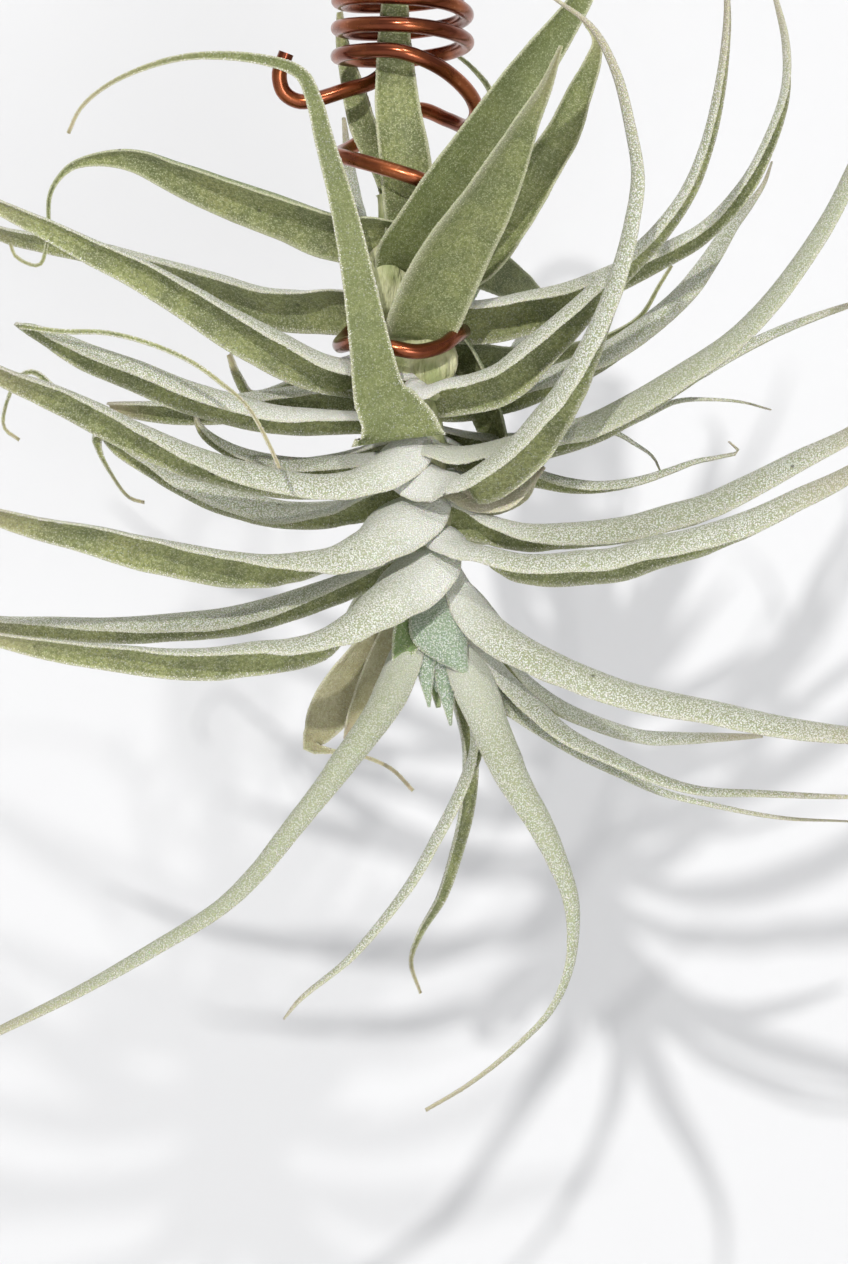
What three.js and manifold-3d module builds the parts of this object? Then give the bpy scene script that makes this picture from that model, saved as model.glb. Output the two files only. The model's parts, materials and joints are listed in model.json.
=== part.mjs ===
// An air plant held upside down in a hanger bent from one length of copper-coloured wire.
// Millimetres, +Z up. Seen from the front (along +Y), +X is to the right. The origin is the inside
// top of the hanging loop, where a hook carries the plant.
import * as THREE from "three";
import { mergeVertices } from "three/addons/utils/BufferGeometryUtils.js";
import Module from "manifold-3d";

const wasm = await Module();
wasm.setup();

// Driving dimensions. Heights in this file are above the low end of the stem.
const wireThickness = 3;
const coilRadius = 12.5; // from the coil's axis to the middle of the wire
const coilPitch = 5.4;
const coilTurns = 5;
const coilEndHeight = 106.1; // where the coil proper ends, at its left side
const wireSteps = 140;
const loopRadius = 8.5; // middle of the wire of the hanging loop
const loopHeight = 150; // middle of the hanging loop
const hangHeight = loopHeight + loopRadius - wireThickness / 2;

const wireSides = 8;

const stemRadius = 3.6; // at its old, upper end
const stemThickRadius = 4.9; // where the leaf bases stand closest
const stemTipRadius = 3.2;
const stemRidge = 0.25; // how far old leaf bases stand out
const stemSides = 12;
const stemRings = 24;

const leafThickness = 0.7;
const stationSpacing = 13; // longest stretch of a leaf between two of its sections
const twistLimit = 40; // degrees, from one section to the next
const rollLimit = 0.5; // added to the thickness, the smallest circle that a blade rolls to
const acrossCount = 4; // points across each face of a blade
const gap = 0.3; // between neighbours
const wireGap = 0.32;

const budSides = 10;
const budDepth = 0.9; // of its width

const colours = {
  wire: 0x8a4526,
  stem: 0xc9c8a4,
  leaf: 0xa9b397,
  tip: 0x9fb38c,
};

// ---- shared shapes -------------------------------------------------------------------------

function toSolid(geometry) {
  const bare = geometry.clone();
  bare.deleteAttribute("normal");
  bare.deleteAttribute("uv");
  const merged = mergeVertices(bare, 1e-4);
  return new wasm.Manifold(
    new wasm.Mesh({
      numProp: 3,
      vertProperties: new Float32Array(merged.attributes.position.array),
      triVerts: new Uint32Array(merged.index.array),
    }),
  );
}

function toGeometry(solid) {
  const mesh = solid.getMesh();
  const geometry = new THREE.BufferGeometry();
  geometry.setAttribute("position", new THREE.BufferAttribute(mesh.vertProperties, 3));
  geometry.setIndex(new THREE.BufferAttribute(mesh.triVerts, 1));
  geometry.computeVertexNormals();
  return geometry;
}

// A round bar along a smooth curve through the given points.
function bar(points, radius, steps) {
  const path = new THREE.CatmullRomCurve3(points, false, "centripetal");
  const section = new THREE.Shape();
  for (let i = 0; i < wireSides; i += 1) {
    const angle = (2 * Math.PI * i) / wireSides;
    const x = radius * Math.cos(angle);
    const y = radius * Math.sin(angle);
    if (i === 0) section.moveTo(x, y);
    else section.lineTo(x, y);
  }
  return new THREE.ExtrudeGeometry(section, { steps, extrudePath: path });
}

// The value of a short list spread evenly from a leaf's base (0) to its tip (1).
function along(list, share) {
  const place = share * (list.length - 1);
  const before = Math.min(Math.floor(place), list.length - 2);
  return THREE.MathUtils.lerp(list[before], list[before + 1], place - before);
}

// ---- wire hanger ---------------------------------------------------------------------------

function wirePoints() {
  const points = [];
  const add = (x, y, z) => points.push(new THREE.Vector3(x, y, z));
  // cut tail, curled at the left of the coil, then in to the coil's axis
  add(-22.5, -5, 106);
  add(-23.9, -4.5, 102);
  add(-23, -3.5, 98.5);
  add(-20, -3, 96.8);
  add(-16, -3, 97.4);
  add(-11, -2, 99.2);
  add(-5.5, 0.5, 101.5);
  add(-1.8, 2.8, 106);
  // shaft up the middle of the coil
  add(-0.6, 3.4, 114);
  add(-0.4, 3.2, 126);
  add(0.6, 2.6, 136);
  add(4.5, 1.4, 141);
  // hanging loop
  for (let degrees = -30; degrees <= 210; degrees += 30) {
    const angle = THREE.MathUtils.degToRad(degrees);
    const share = (degrees + 30) / 240;
    add(loopRadius * Math.cos(angle), 0.6 - 1.6 * share, loopHeight + loopRadius * Math.sin(angle));
  }
  add(-5, -2.4, 141);
  add(-4.8, -6, 137.2);
  add(-3.8, -10.2, 134);
  // coil, wound left, front, right, back on its way down
  const topTurns = coilTurns - 0.25;
  for (let step = 0; step <= topTurns * 8; step += 1) {
    const turnsLeft = topTurns - step / 8;
    const angle = Math.PI - turnsLeft * 2 * Math.PI;
    const share = turnsLeft * coilPitch;
    add(coilRadius * Math.cos(angle), coilRadius * Math.sin(angle), coilEndHeight + share);
  }
  // last front arc dips to the right, turns back behind the plant and crosses the front again
  add(-9.2, -8.6, 105.6);
  add(-0.5, -12.4, 105);
  add(7.3, -10.2, 102.4);
  add(12.6, -6, 98.4);
  add(14.4, -0.8, 95);
  add(12.8, 4.2, 93);
  add(9, 8.8, 95);
  add(3, 12, 97.4);
  add(-4, 12, 94);
  add(-10, 8.5, 89.6);
  add(-13, 2, 87);
  add(-12, -4.5, 86);
  add(-5, -11.2, 83.4);
  add(3.5, -12.6, 80.4);
  // round the right side, down behind the plant and into the low grip ring
  add(10.5, -8.5, 77.6);
  add(12.8, 0, 75);
  add(8.6, 9.4, 72);
  add(1, 12.6, 66);
  add(-6, 11, 58);
  add(-11, 6, 52);
  add(-12.2, 0, 49.8);
  add(-9, -8.4, 49.4);
  add(-2.2, -12.2, 48.4);
  add(3, -12, 47.6);
  add(7.6, -9.8, 48.8);
  add(10.2, -6.2, 51);
  add(11.8, -1, 52.4);
  return points;
}

// ---- stem ----------------------------------------------------------------------------------

const stemPoints = [
  [-1.5, 0, 79],
  [-0.6, 0, 68],
  [0.6, 0, 58],
  [2.4, 0, 43],
  [3.8, 0, 25.5],
  [5.6, 0, 9],
  [7, 0, 0],
].map(([x, y, z]) => new THREE.Vector3(x, y, z));

const stemRadii = [stemRadius, stemRadius, stemThickRadius, stemThickRadius, stemTipRadius];

// A round body along the stem, thinner towards its growing end, with the low ridges that old
// leaf bases leave.
function stemBody(grow) {
  const path = new THREE.CatmullRomCurve3(stemPoints, false, "centripetal");
  const positions = [];
  for (let ring = 0; ring <= stemRings; ring += 1) {
    const share = ring / stemRings;
    const { x, y, z } = path.getPoint(share);
    const ridge = ring % 2 === 0 ? 0 : stemRidge;
    const radius = along(stemRadii, share) - ridge + grow;
    for (let side = 0; side < stemSides; side += 1) {
      const angle = (2 * Math.PI * side) / stemSides;
      positions.push(x + radius * Math.cos(angle), y + radius * Math.sin(angle), z);
    }
  }
  return closedSolid(positions, tubeFaces(stemRings, stemSides));
}

// The faces of a closed tube whose rings of points follow each other, with a flat fan at each end.
function tubeFaces(stretches, sides) {
  const faces = [];
  for (let ring = 0; ring < stretches; ring += 1) {
    for (let side = 0; side < sides; side += 1) {
      const a = ring * sides + side;
      const b = ring * sides + ((side + 1) % sides);
      faces.push(a, a + sides, b + sides, a, b + sides, b);
    }
  }
  const last = stretches * sides;
  for (let side = 1; side < sides - 1; side += 1) {
    faces.push(0, side, side + 1);
    faces.push(last, last + side + 1, last + side);
  }
  return faces;
}

// A closed solid from points and triangles, its faces turned to point outwards.
function closedSolid(positions, faces) {
  const geometry = new THREE.BufferGeometry();
  geometry.setAttribute("position", new THREE.Float32BufferAttribute(positions, 3));
  let sum = 0;
  const a = new THREE.Vector3();
  const b = new THREE.Vector3();
  const c = new THREE.Vector3();
  for (let corner = 0; corner < faces.length; corner += 3) {
    a.fromArray(positions, faces[corner] * 3);
    b.fromArray(positions, faces[corner + 1] * 3);
    c.fromArray(positions, faces[corner + 2] * 3);
    sum += a.dot(b.cross(c));
  }
  geometry.setIndex(sum > 0 ? faces : faces.slice().reverse());
  return toSolid(geometry);
}

// ---- leaves --------------------------------------------------------------------------------

// Each leaf is a channel. points: the middle of the leaf from its base to its tip, x, y, height,
// the flat width of the blade there and the turn of its hollow side, in degrees: 0 faces the
// leaf's underside, 90 the front and -90 the back. hand: 1 where the underside is to the right of
// a leaf that climbs, -1 where it is to the left. curl: how far each half of the blade is rolled,
// in degrees, spread from base to tip. The leaves stand in the order in which they overlap, the
// outermost bases first.
const leaves = [
  {
    name: "leaf_up_right_front",
    hand: 1,
    curl: [40, 34, 36, 45, 50],
    points: [
      [-0.5, -4, 63.5, 10.2, 84], [0.5, -8, 66.5, 11.7, 82], [3.5, -12, 71, 11.2, 80],
      [7.5, -16.5, 77.5, 9.8, 78], [12.5, -19.5, 84.5, 8.8, 76], [17.5, -21, 91.5, 8, 76],
      [22, -22, 98, 7.2, 74], [27.5, -23.5, 105, 6.3, 70], [33, -24.5, 112, 5.1, 66],
      [38.5, -26.5, 122.5, 3.6, 60], [43, -29, 133.5, 2, 60], [45.5, -32, 144, 0.7, 60],
    ],
  },
  {
    name: "leaf_up_in_coil",
    hand: 1,
    curl: [50, 34, 30],
    points: [
      [1, -3.5, 68.5, 9.6, 90], [1.5, -4.5, 74.5, 11.1, 90], [0.5, -5.5, 85, 10.8, 90],
      [-1, -5.5, 96.5, 9, 90], [-1.5, -5, 106.5, 6.9, 90], [-1.5, -4.5, 116, 5.3, 90],
      [-1.5, -4.5, 124, 3.5, 90], [-1.5, -4.5, 132.5, 1.1, 90],
    ],
  },
  {
    name: "leaf_up_right_second",
    hand: 1,
    curl: [40, 30, 36, 45, 50],
    points: [
      [2, -5.5, 50, 12.9, 66], [3.5, -9, 53, 15.4, 66], [6.5, -13, 58.5, 15, 64],
      [11, -19, 66, 12.7, 62], [16, -25, 73, 9.6, 62], [20.5, -31.5, 81, 6.4, 62],
      [23.5, -37.5, 87.5, 3.9, 62], [26.5, -43, 93.5, 2.1, 62], [29, -50, 100, 0.7, 62],
    ],
  },
  {
    name: "leaf_left_over_stem",
    hand: -1,
    curl: [22, 14, 20, 35, 50],
    points: [
      [0, -6, 29, 16.4, 90], [-1, -8, 31.5, 15.7, 90], [-2.5, -11, 35, 13.3, 90],
      [-4, -13, 38.5, 10.3, 90], [-6, -15.5, 48, 7.8, 90], [-8.5, -16.5, 62, 5.9, 90],
      [-11.5, -16, 76, 4.7, 90], [-14.5, -15, 86.5, 3.7, 90], [-17, -13, 96, 3, 90],
      [-19.5, -11, 101, 2.5, 90], [-28, -7, 104.5, 2, 90], [-43, -2, 105.5, 1.3, 90],
      [-56.5, 2, 101.5, 0.9, 90], [-63, 3, 96.5, 0.7, 90], [-65.5, 3, 91.5, 0.7, 90],
    ],
  },
  {
    name: "leaf_left_top",
    hand: -1,
    curl: [50, 55, 60, 60, 60],
    points: [
      [0, -3, 69.5, 9.7, 60], [-4.5, -4, 70, 12.9, 50], [-14, -4.5, 71.5, 15.4, 34],
      [-23, -4.5, 75, 15.8, 28], [-34, -3.5, 79, 14.6, 28], [-43, -2, 82.5, 11.4, 32],
      [-52, 0, 86, 6.9, 40], [-59, 2, 86.5, 3.4, 50], [-65.5, 5, 85, 1.5, 60],
      [-69.5, 8, 80.5, 0.9, 60], [-70.5, 12.5, 72.5, 0.7, 60], [-72.5, 15.5, 67, 0.7, 60],
      [-77.5, 17.5, 69, 0.7, 60], [-78.5, 18, 71.5, 0.7, 60],
    ],
  },
  {
    name: "leaf_right_second_front",
    hand: 1,
    curl: [75, 75, 75, 75, 70],
    points: [
      [1.5, -5, 41, 13.7, -30], [5, -7, 39, 15.2, 10], [10, -8.5, 40, 14.9, 26],
      [15.5, -10.5, 41, 15.4, 28], [20, -11.5, 43, 16.2, 27], [24.5, -12.5, 47, 15.7, 23],
      [29, -13.5, 51, 14.2, 20], [35.5, -15.5, 57, 12, 16], [44, -17.5, 65, 10, 14],
      [49, -19.5, 70, 8.3, 14], [54, -22, 77, 7.1, 14], [57.5, -25, 86, 6.1, 14],
      [59.5, -28.5, 95.5, 5.1, 14], [60.5, -31, 104, 3.9, 10], [60.5, -34, 111, 2.6, 10],
      [59, -37, 119, 1, 10],
    ],
  },
  {
    name: "leaf_left_fourth_front",
    hand: -1,
    curl: [80, 80, 78, 75, 70, 60],
    points: [
      [5, -5, 31, 13.4, -90], [2, -7, 29, 13.8, -80], [-3.5, -9.5, 25.5, 13.6, -45],
      [-9.5, -11, 22.5, 13.8, -14], [-16.5, -12.5, 21.5, 15.1, -2], [-25, -14.5, 22.5, 16.4, 3],
      [-33.5, -17, 24.5, 16.6, 6], [-41, -20, 27, 15.3, 14], [-50, -23.5, 31, 13, 23],
      [-58, -28, 35, 10.7, 31], [-66, -32.5, 38.5, 8.2, 37], [-74, -37.5, 41.5, 5.4, 42],
      [-80.5, -43, 45.5, 2.8, 44], [-88, -50, 50, 0.7, 44],
    ],
  },
  {
    name: "leaf_right_loop_front",
    hand: 1,
    curl: [80, 80, 80, 78, 75, 70],
    points: [
      [-0.5, -5, 26, 11.8, -90], [3, -8.5, 24, 12.4, -80], [8, -11, 22.5, 13.5, -34],
      [12.5, -13.5, 21.5, 15.3, 12], [17.5, -16, 24, 16.8, 23], [23, -18.5, 28.5, 17.2, 24],
      [27, -21, 33.5, 16.5, 20], [31, -23.5, 39, 14.8, 14], [34.5, -26, 45.5, 12.9, 8],
      [37.5, -28, 52, 11, 2], [40.5, -31.5, 60.5, 9, -4], [42.5, -35, 69, 7.1, -8],
      [43.5, -38.5, 78, 5.5, -10], [42, -42, 86, 4.3, -10], [39, -46.5, 96, 3.3, -10],
      [34.5, -49.5, 103.5, 2.1, -10], [27, -53, 108.5, 0.9, -10],
    ],
  },
  {
    name: "leaf_left_sixth_front",
    hand: -1,
    curl: [82, 82, 78, 72, 65, 55],
    points: [
      [7, -5, 20, 16.5, -90], [4, -7.5, 17.5, 16.7, -88], [-1.5, -10.5, 14.5, 16.4, -66],
      [-7, -13, 10.5, 16.1, -34], [-13, -15, 7.5, 15.9, -8], [-19.5, -17, 6.5, 15.1, 8],
      [-25, -19, 6, 14.1, 20], [-33, -22, 6.5, 13.6, 31], [-41.5, -25.5, 8, 12.6, 34],
      [-49.5, -29.5, 9.5, 10.7, 44], [-57.5, -33.5, 11.5, 8.5, 48], [-65.5, -38, 13, 6.5, 50],
      [-73.5, -43.5, 15, 4.7, 50], [-82.5, -50.5, 17.5, 2.8, 50], [-92.5, -61, 23.5, 0.7, 50],
    ],
  },
  {
    name: "leaf_right_fifth_front",
    hand: 1,
    curl: [80, 80, 85, 85, 78, 70],
    points: [
      [4, -5, 15, 10.1, -90], [7.5, -8, 12.5, 10.7, -60], [11.5, -10.5, 10, 11.3, -20],
      [17, -13, 8, 12.5, 2], [21.5, -14.5, 6.5, 13.9, 9], [27.5, -15.5, 6, 15.5, 13],
      [34, -17.5, 6.5, 16.5, 13], [40.5, -19.5, 7, 16.3, 13], [47, -21.5, 9, 15.7, 12],
      [54, -25, 10.5, 15.1, 8], [60.5, -27.5, 12.5, 14.6, 3], [67, -31, 15, 13.9, 0],
      [74, -34.5, 18.5, 12.6, 0], [82, -40, 22.5, 9.9, 0], [91.5, -47.5, 29, 5.8, 0],
      [99.5, -56, 36.5, 1.1, 0],
    ],
  },
  {
    name: "leaf_left_eighth_front",
    hand: -1,
    curl: [82, 82, 78, 72, 65, 55],
    points: [
      [8.5, -5, 10.5, 16.5, -90], [6, -8, 7.5, 17.1, -88], [1, -10.5, 3.5, 17, -66],
      [-4, -13, -0.5, 16.6, -38], [-9.5, -15, -5, 16, -12], [-15.5, -16.5, -8.5, 15.5, 9],
      [-21.5, -18.5, -10, 15.3, 15], [-28, -19.5, -10.5, 14.2, 24], [-35.5, -21.5, -11.5, 12.4, 30],
      [-43.5, -23.5, -11.5, 10.9, 34], [-54, -26.5, -10.5, 8.7, 40], [-66.5, -31, -9, 6.1, 46],
      [-74.5, -33.5, -7.5, 3.9, 46], [-85, -37.5, -5.5, 2.2, 46], [-93, -41, -2.5, 0.7, 46],
    ],
  },
  {
    name: "leaf_right_low",
    hand: 1,
    curl: [80, 75, 72, 70, 60],
    points: [
      [9.5, -2.5, 7, 7.7, -74], [11.5, -4.5, 1.5, 8.4, -72], [15, -7.5, -3.5, 10.1, -58],
      [20, -10, -7.5, 12.2, -38], [27, -12.5, -11.5, 14, -20], [34.5, -14.5, -15, 15.3, -10],
      [42.5, -16.5, -18, 15.6, -6], [51, -19, -20, 15.3, -4], [59, -22, -21.5, 14.5, -2],
      [71, -27, -24, 13.3, -2], [83, -32.5, -25.5, 11.1, 0], [93, -38, -26, 6.9, 0],
      [106.5, -45, -25, 1.2, 0],
    ],
  },
  {
    name: "leaf_down_right",
    hand: 1,
    curl: [72, 65, 60, 60, 60],
    points: [
      [10, -1, -2.5, 5.1, -76], [11.5, -3, -9.5, 7.7, -80], [14.5, -7, -17.5, 9.4, -76],
      [18, -10.5, -26, 9.4, -70], [21.5, -15, -34, 8.3, -64], [26, -17, -41.5, 6.8, -60],
      [29.5, -19, -49, 5.3, -60], [32, -21, -56, 4, -60], [32.5, -22.5, -63, 2.9, -60],
      [31.5, -24, -70, 2.1, -60], [28, -25, -77.5, 1.5, -60], [21, -26.5, -84.5, 1.2, -60],
      [12.5, -28, -91, 0.9, -60], [4.5, -30, -95.5, 0.7, -60],
    ],
  },
  {
    name: "leaf_down_left",
    hand: -1,
    curl: [75, 65, 60, 60],
    points: [
      [3, -1.5, -1.5, 7, -50], [1.5, -2.5, -7.5, 7.7, -56], [-0.5, -5, -13, 8.1, -64],
      [-3, -8.5, -19, 8, -70], [-6.5, -12, -24.5, 7.3, -72], [-11, -14.5, -30.5, 6.4, -70],
      [-16, -16, -37, 5.7, -62], [-22, -17.5, -44.5, 5.2, -56], [-28, -20, -52, 4.9, -50],
      [-34.5, -23, -58, 4.7, -40], [-47.5, -26.5, -66, 4.5, -30], [-61, -30.5, -73.5, 4.1, -20],
      [-74.5, -34.5, -80, 3.2, -20], [-85, -37.5, -85, 2, -20], [-94, -39, -88.5, 0.7, -20],
    ],
  },
  {
    name: "leaf_left_third",
    hand: -1,
    curl: [65, 75, 75, 70, 60],
    points: [
      [0.5, 1.5, 43.5, 18, 10], [-8, -2, 43.5, 17.3, 14], [-16.5, -5.5, 45, 17.4, 19],
      [-25, -8, 49, 16.6, 27], [-33.5, -9.5, 53.5, 14.3, 33], [-42, -11.5, 58.5, 11.8, 37],
      [-50.5, -13.5, 63, 9.7, 42], [-59.5, -15, 67, 7.5, 46], [-68, -16.5, 71, 5.7, 50],
      [-76, -18, 74.5, 4.1, 50], [-84.5, -19, 78.5, 2.4, 50], [-92.5, -20, 83, 0.7, 50],
    ],
  },
  {
    name: "leaf_left_folded_tip",
    hand: -1,
    curl: [65, 80, 80, 80, 70],
    points: [
      [0.5, 1.5, 35, 8.9, 20], [-9.5, -1, 35, 10, 16], [-16.5, -3.5, 35, 12.3, 15],
      [-25.5, -6, 35.5, 14.8, 10], [-34, -7.5, 37.5, 15.4, 12], [-42.5, -9.5, 40, 14.9, 15],
      [-51, -11.5, 43.5, 14.1, 16], [-59.5, -14, 46.5, 12.6, 16], [-66, -16, 49.5, 8.9, 16],
      [-70.5, -17, 51.5, 4.1, 24], [-73, -19.5, 52, 1.3, 60], [-70.5, -21, 51.5, 0.8, 60],
      [-64.5, -23, 50.5, 1.1, 60], [-55.5, -25.5, 50, 1.1, 60], [-46.5, -28.5, 47.5, 1, 60],
      [-39, -31, 44, 1, 60], [-33.5, -33.5, 40, 0.9, 60], [-28.5, -35, 35.5, 0.8, 60],
      [-24.5, -36, 28.5, 0.7, 60], [-22.5, -37, 24, 0.7, 60],
    ],
  },
  {
    name: "leaf_right_fourth",
    hand: 1,
    curl: [70, 78, 75, 75, 70, 60],
    points: [
      [6.5, -1, 18.5, 9.2, 40], [12, -2.5, 16, 11, 34], [17.5, -3.5, 14, 12.7, 18],
      [24, -3.5, 12.5, 14.2, 10], [31, -3.5, 12.5, 15.4, 2], [38.5, -3, 13, 16.3, 0],
      [45, -2, 14, 16.7, 0], [52, -1, 16, 17.1, 0], [59, 0.5, 18, 16.9, 0],
      [68.5, 2, 22.5, 15.5, 0], [78, 4.5, 27.5, 13.5, 0], [88, 8, 32.5, 10.6, 0],
      [98.5, 12.5, 40, 6.3, 0], [111.5, 19, 51, 1.5, 0],
    ],
  },
  {
    name: "leaf_right_first",
    hand: 1,
    curl: [65, 75, 75, 70, 60],
    points: [
      [2, 2.5, 56, 12, 36], [8.5, 2, 55.5, 14.6, 33], [16, 1.5, 55.5, 16.4, 30],
      [23.5, 1, 57, 16.5, 28], [32.5, 1.5, 59.5, 14.9, 22], [42.5, 2.5, 64, 12.9, 16],
      [51, 4.5, 68, 10.9, 14], [59.5, 6.5, 73, 8.7, 16], [68, 10.5, 82.5, 7.2, 24],
      [73, 13.5, 92, 6.3, 20], [76.5, 17.5, 102, 5.3, 10], [77, 22, 112, 3.9, 0],
      [75.5, 26.5, 121.5, 2.3, 0], [74, 30, 128.5, 0.7, 0],
    ],
  },
  {
    name: "leaf_up_right_back",
    hand: 1,
    curl: [50, 50, 56, 56, 56],
    points: [
      [2.5, 3, 60.5, 8.2, 120], [8.5, 5, 62.5, 9.7, 110], [15, 6, 67, 10.5, 104],
      [21, 7, 75, 10.2, 100], [26.5, 9.5, 84, 9.3, 98], [31.5, 12.5, 92, 8, 98],
      [35, 16, 100.5, 6.1, 98], [38, 19.5, 108, 3.8, 98], [39, 22, 113, 1.9, 98],
      [36.5, 24, 117, 0.7, 98],
    ],
  },
  {
    name: "leaf_left_second_back",
    hand: -1,
    curl: [50, 60, 60, 60, 60],
    points: [
      [0, 2.5, 57, 10.5, 50], [-11.5, 4.5, 57.5, 13.4, 42], [-19, 7.5, 58, 15.7, 30],
      [-27, 10.5, 59, 16, 26], [-35.5, 14, 62, 14.9, 24], [-44.5, 18, 65, 13.3, 24],
      [-53, 22.5, 68, 11.1, 24], [-63.5, 28.5, 71.5, 8.7, 26], [-74.5, 35.5, 74, 6.7, 30],
      [-83.5, 42.5, 76.5, 4.8, 34], [-93.5, 50, 81.5, 2.8, 34], [-102, 57, 87, 0.9, 34],
    ],
  },
  {
    name: "leaf_right_third",
    hand: 1,
    curl: [72, 78, 75, 75, 70, 60],
    points: [
      [2.5, -5, 31.5, 9.2, -60], [7.5, -6, 29, 14, -16], [14, -4, 28, 16.3, 8],
      [23, 0, 29.5, 17.2, 10], [29, 2, 31.5, 17.7, 6], [36.5, 2.5, 33.5, 17.6, 3],
      [45.5, 0.5, 38, 17.1, 1], [54.5, -1, 43.5, 15.8, 0], [64, -1.5, 50, 13.9, 0],
      [71, -2.5, 57, 12.3, 0], [77.5, -2.5, 65.5, 11.2, 0], [83.5, -3, 75, 10.1, 0],
      [88, -3, 84.5, 8.5, 0], [93, -2.5, 96, 6.4, 0], [96.5, -3, 107, 3.9, 0],
      [98, -2, 116.5, 1.4, 0],
    ],
  },
  {
    name: "leaf_right_back_long",
    hand: 1,
    curl: [70, 75, 75, 75, 70],
    points: [
      [2.5, 3.5, 39, 9.1, 24], [11, 7, 38.5, 11.4, 20], [22, 11.5, 41, 14.1, 12],
      [31, 14, 44.5, 15.7, 6], [39.5, 17.5, 48.5, 15.7, 0], [47.5, 21, 54, 14.3, -4],
      [56, 26.5, 61.5, 12.4, -6], [61.5, 31, 68.5, 10.3, -6], [66.5, 36, 76, 7.2, -6],
      [71, 40, 81.5, 3.9, -6], [74.5, 43, 86.5, 1.8, -6], [76.5, 46, 91.5, 0.7, -6],
    ],
  },
  {
    name: "leaf_left_seventh_back",
    hand: -1,
    curl: [70, 78, 78, 72, 60],
    points: [
      [4, 2, 10, 9.9, 30], [-3.5, 0.5, 6.5, 11.1, 24], [-11.5, 0, 3, 12.2, 18],
      [-17, 0.5, 1, 13.7, 14], [-26, 1.5, -2, 15.7, 9], [-34.5, 3, -4, 16.2, 8],
      [-46, 5.5, -5, 14.7, 10], [-57.5, 10, -5.5, 12.5, 16], [-71.5, 16, -5, 10.1, 23],
      [-81, 20, -4.5, 7.4, 27], [-94, 28, -2, 4.3, 30], [-106.5, 36, 1, 0.9, 30],
    ],
  },
  {
    name: "leaf_left_fifth_back",
    hand: -1,
    curl: [65, 75, 75, 70, 60],
    points: [
      [1.5, 4, 22.5, 5.6, 50], [-5.5, 4.5, 19.5, 8.6, 38], [-13.5, 5.5, 17.5, 13.3, 12],
      [-23, 8, 17, 17, 2], [-32, 10.5, 19, 17.6, 3], [-41.5, 14.5, 22.5, 15.5, 6],
      [-50.5, 19.5, 27.5, 11.3, 14], [-58, 24.5, 31.5, 6.5, 24], [-62, 28, 33.5, 2.8, 40],
      [-62, 30, 31, 1.2, 60], [-60, 33.5, 26.5, 0.7, 60], [-56.5, 37.5, 21.5, 0.7, 60],
      [-53.5, 40, 20.5, 0.7, 60],
    ],
  },
  {
    name: "leaf_right_low_pair_upper",
    hand: 1,
    curl: [60, 75, 70],
    points: [
      [9, 2, -2.5, 8.7, 10], [15, 2, -9.5, 12.5, 8], [20, 1.5, -16, 14.5, 4],
      [26, 0.5, -21.5, 13.5, 0], [32, -1, -26.5, 10.8, 0], [41, -2.5, -31, 8.4, 0],
      [50, -3.5, -35, 6.4, 0], [57.5, -5, -37, 4.9, 0], [69.5, -6.5, -37.5, 3.4, 0],
      [86, -8.5, -38, 1.9, 0], [94, -10, -37.5, 0.7, 0],
    ],
  },
  {
    name: "leaf_right_low_pair_lower",
    hand: 1,
    curl: [60, 75, 70],
    points: [
      [9, 2.5, -4.5, 7.4, 10], [14.5, 5.5, -13, 9.7, 8], [19, 7.5, -19.5, 10.2, 4],
      [26.5, 9.5, -25, 8.7, 0], [35.5, 11, -30.5, 6.7, 0], [43.5, 12.5, -34.5, 5, 0],
      [51, 14.5, -38, 3.7, 0], [60.5, 15.5, -40.5, 2.6, 0], [75.5, 20, -43.5, 1.6, 0],
      [90, 25, -44.5, 0.7, 0],
    ],
  },
  {
    name: "leaf_right_low_back",
    hand: 1,
    curl: [60, 75, 70],
    points: [
      [9, 4, 0, 5.9, 30], [17.5, 11, -9, 8.7, 20], [24.5, 16.5, -16.5, 10.3, 10],
      [31.5, 20.5, -21.5, 10.1, 4], [39.5, 25.5, -25, 9.4, 0], [48, 30.5, -27.5, 8.6, 0],
      [56.5, 36, -28, 7.3, 0], [64.5, 41.5, -28, 5, 0], [74.5, 50, -28, 1.6, 0],
    ],
  },
  {
    name: "leaf_down_thin",
    hand: -1,
    curl: [60, 60, 60],
    points: [
      [8.5, 3.5, -2.5, 7.1, 20], [12, 5, -15.5, 7, 20], [14.5, 4.5, -27.5, 7.2, 10],
      [12, 2, -36, 7.7, 0], [7.5, -0.5, -45, 7.5, 0], [1, -4.5, -56, 6, 0],
      [-10, -10, -69, 4, 0], [-19.5, -14.5, -76.5, 2.2, 0], [-22.5, -16, -80, 0.7, 0],
    ],
  },
  {
    name: "leaf_down_olive",
    hand: -1,
    curl: [50, 60, 60],
    points: [
      [7, 5, -1.5, 5.1, 30], [10.5, 10.5, -18, 6.4, 30], [13, 13.5, -28.5, 6.4, 30],
      [12.5, 16, -41, 5.5, 34], [10.5, 17.5, -50, 4.5, 36], [7.5, 19.5, -59.5, 3.3, 40],
      [3.5, 21.5, -66.5, 2.1, 40], [1.5, 22, -72.5, 1.2, 40], [3.5, 23, -79, 0.7, 40],
    ],
  },
  {
    name: "leaf_down_brown",
    hand: -1,
    curl: [55, 60, 45],
    points: [
      [5.5, 1.5, 1, 3.1, 60], [1, 5, -3.5, 4.2, 60], [-4, 8.5, -7.5, 5.7, 62],
      [-9, 13, -14, 7, 64], [-14, 17, -21, 6.7, 66], [-16.5, 18.5, -26, 4.5, 70],
      [-18, 18.5, -28.5, 2, 70], [-15, 18.5, -30, 0.9, 70], [-10, 18.5, -30.5, 0.7, 70],
      [-2.5, 18.5, -33.5, 0.7, 70], [2, 19, -38, 0.7, 70],
    ],
  },
  {
    name: "leaf_down_beige",
    hand: -1,
    curl: [60, 60, 50],
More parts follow.
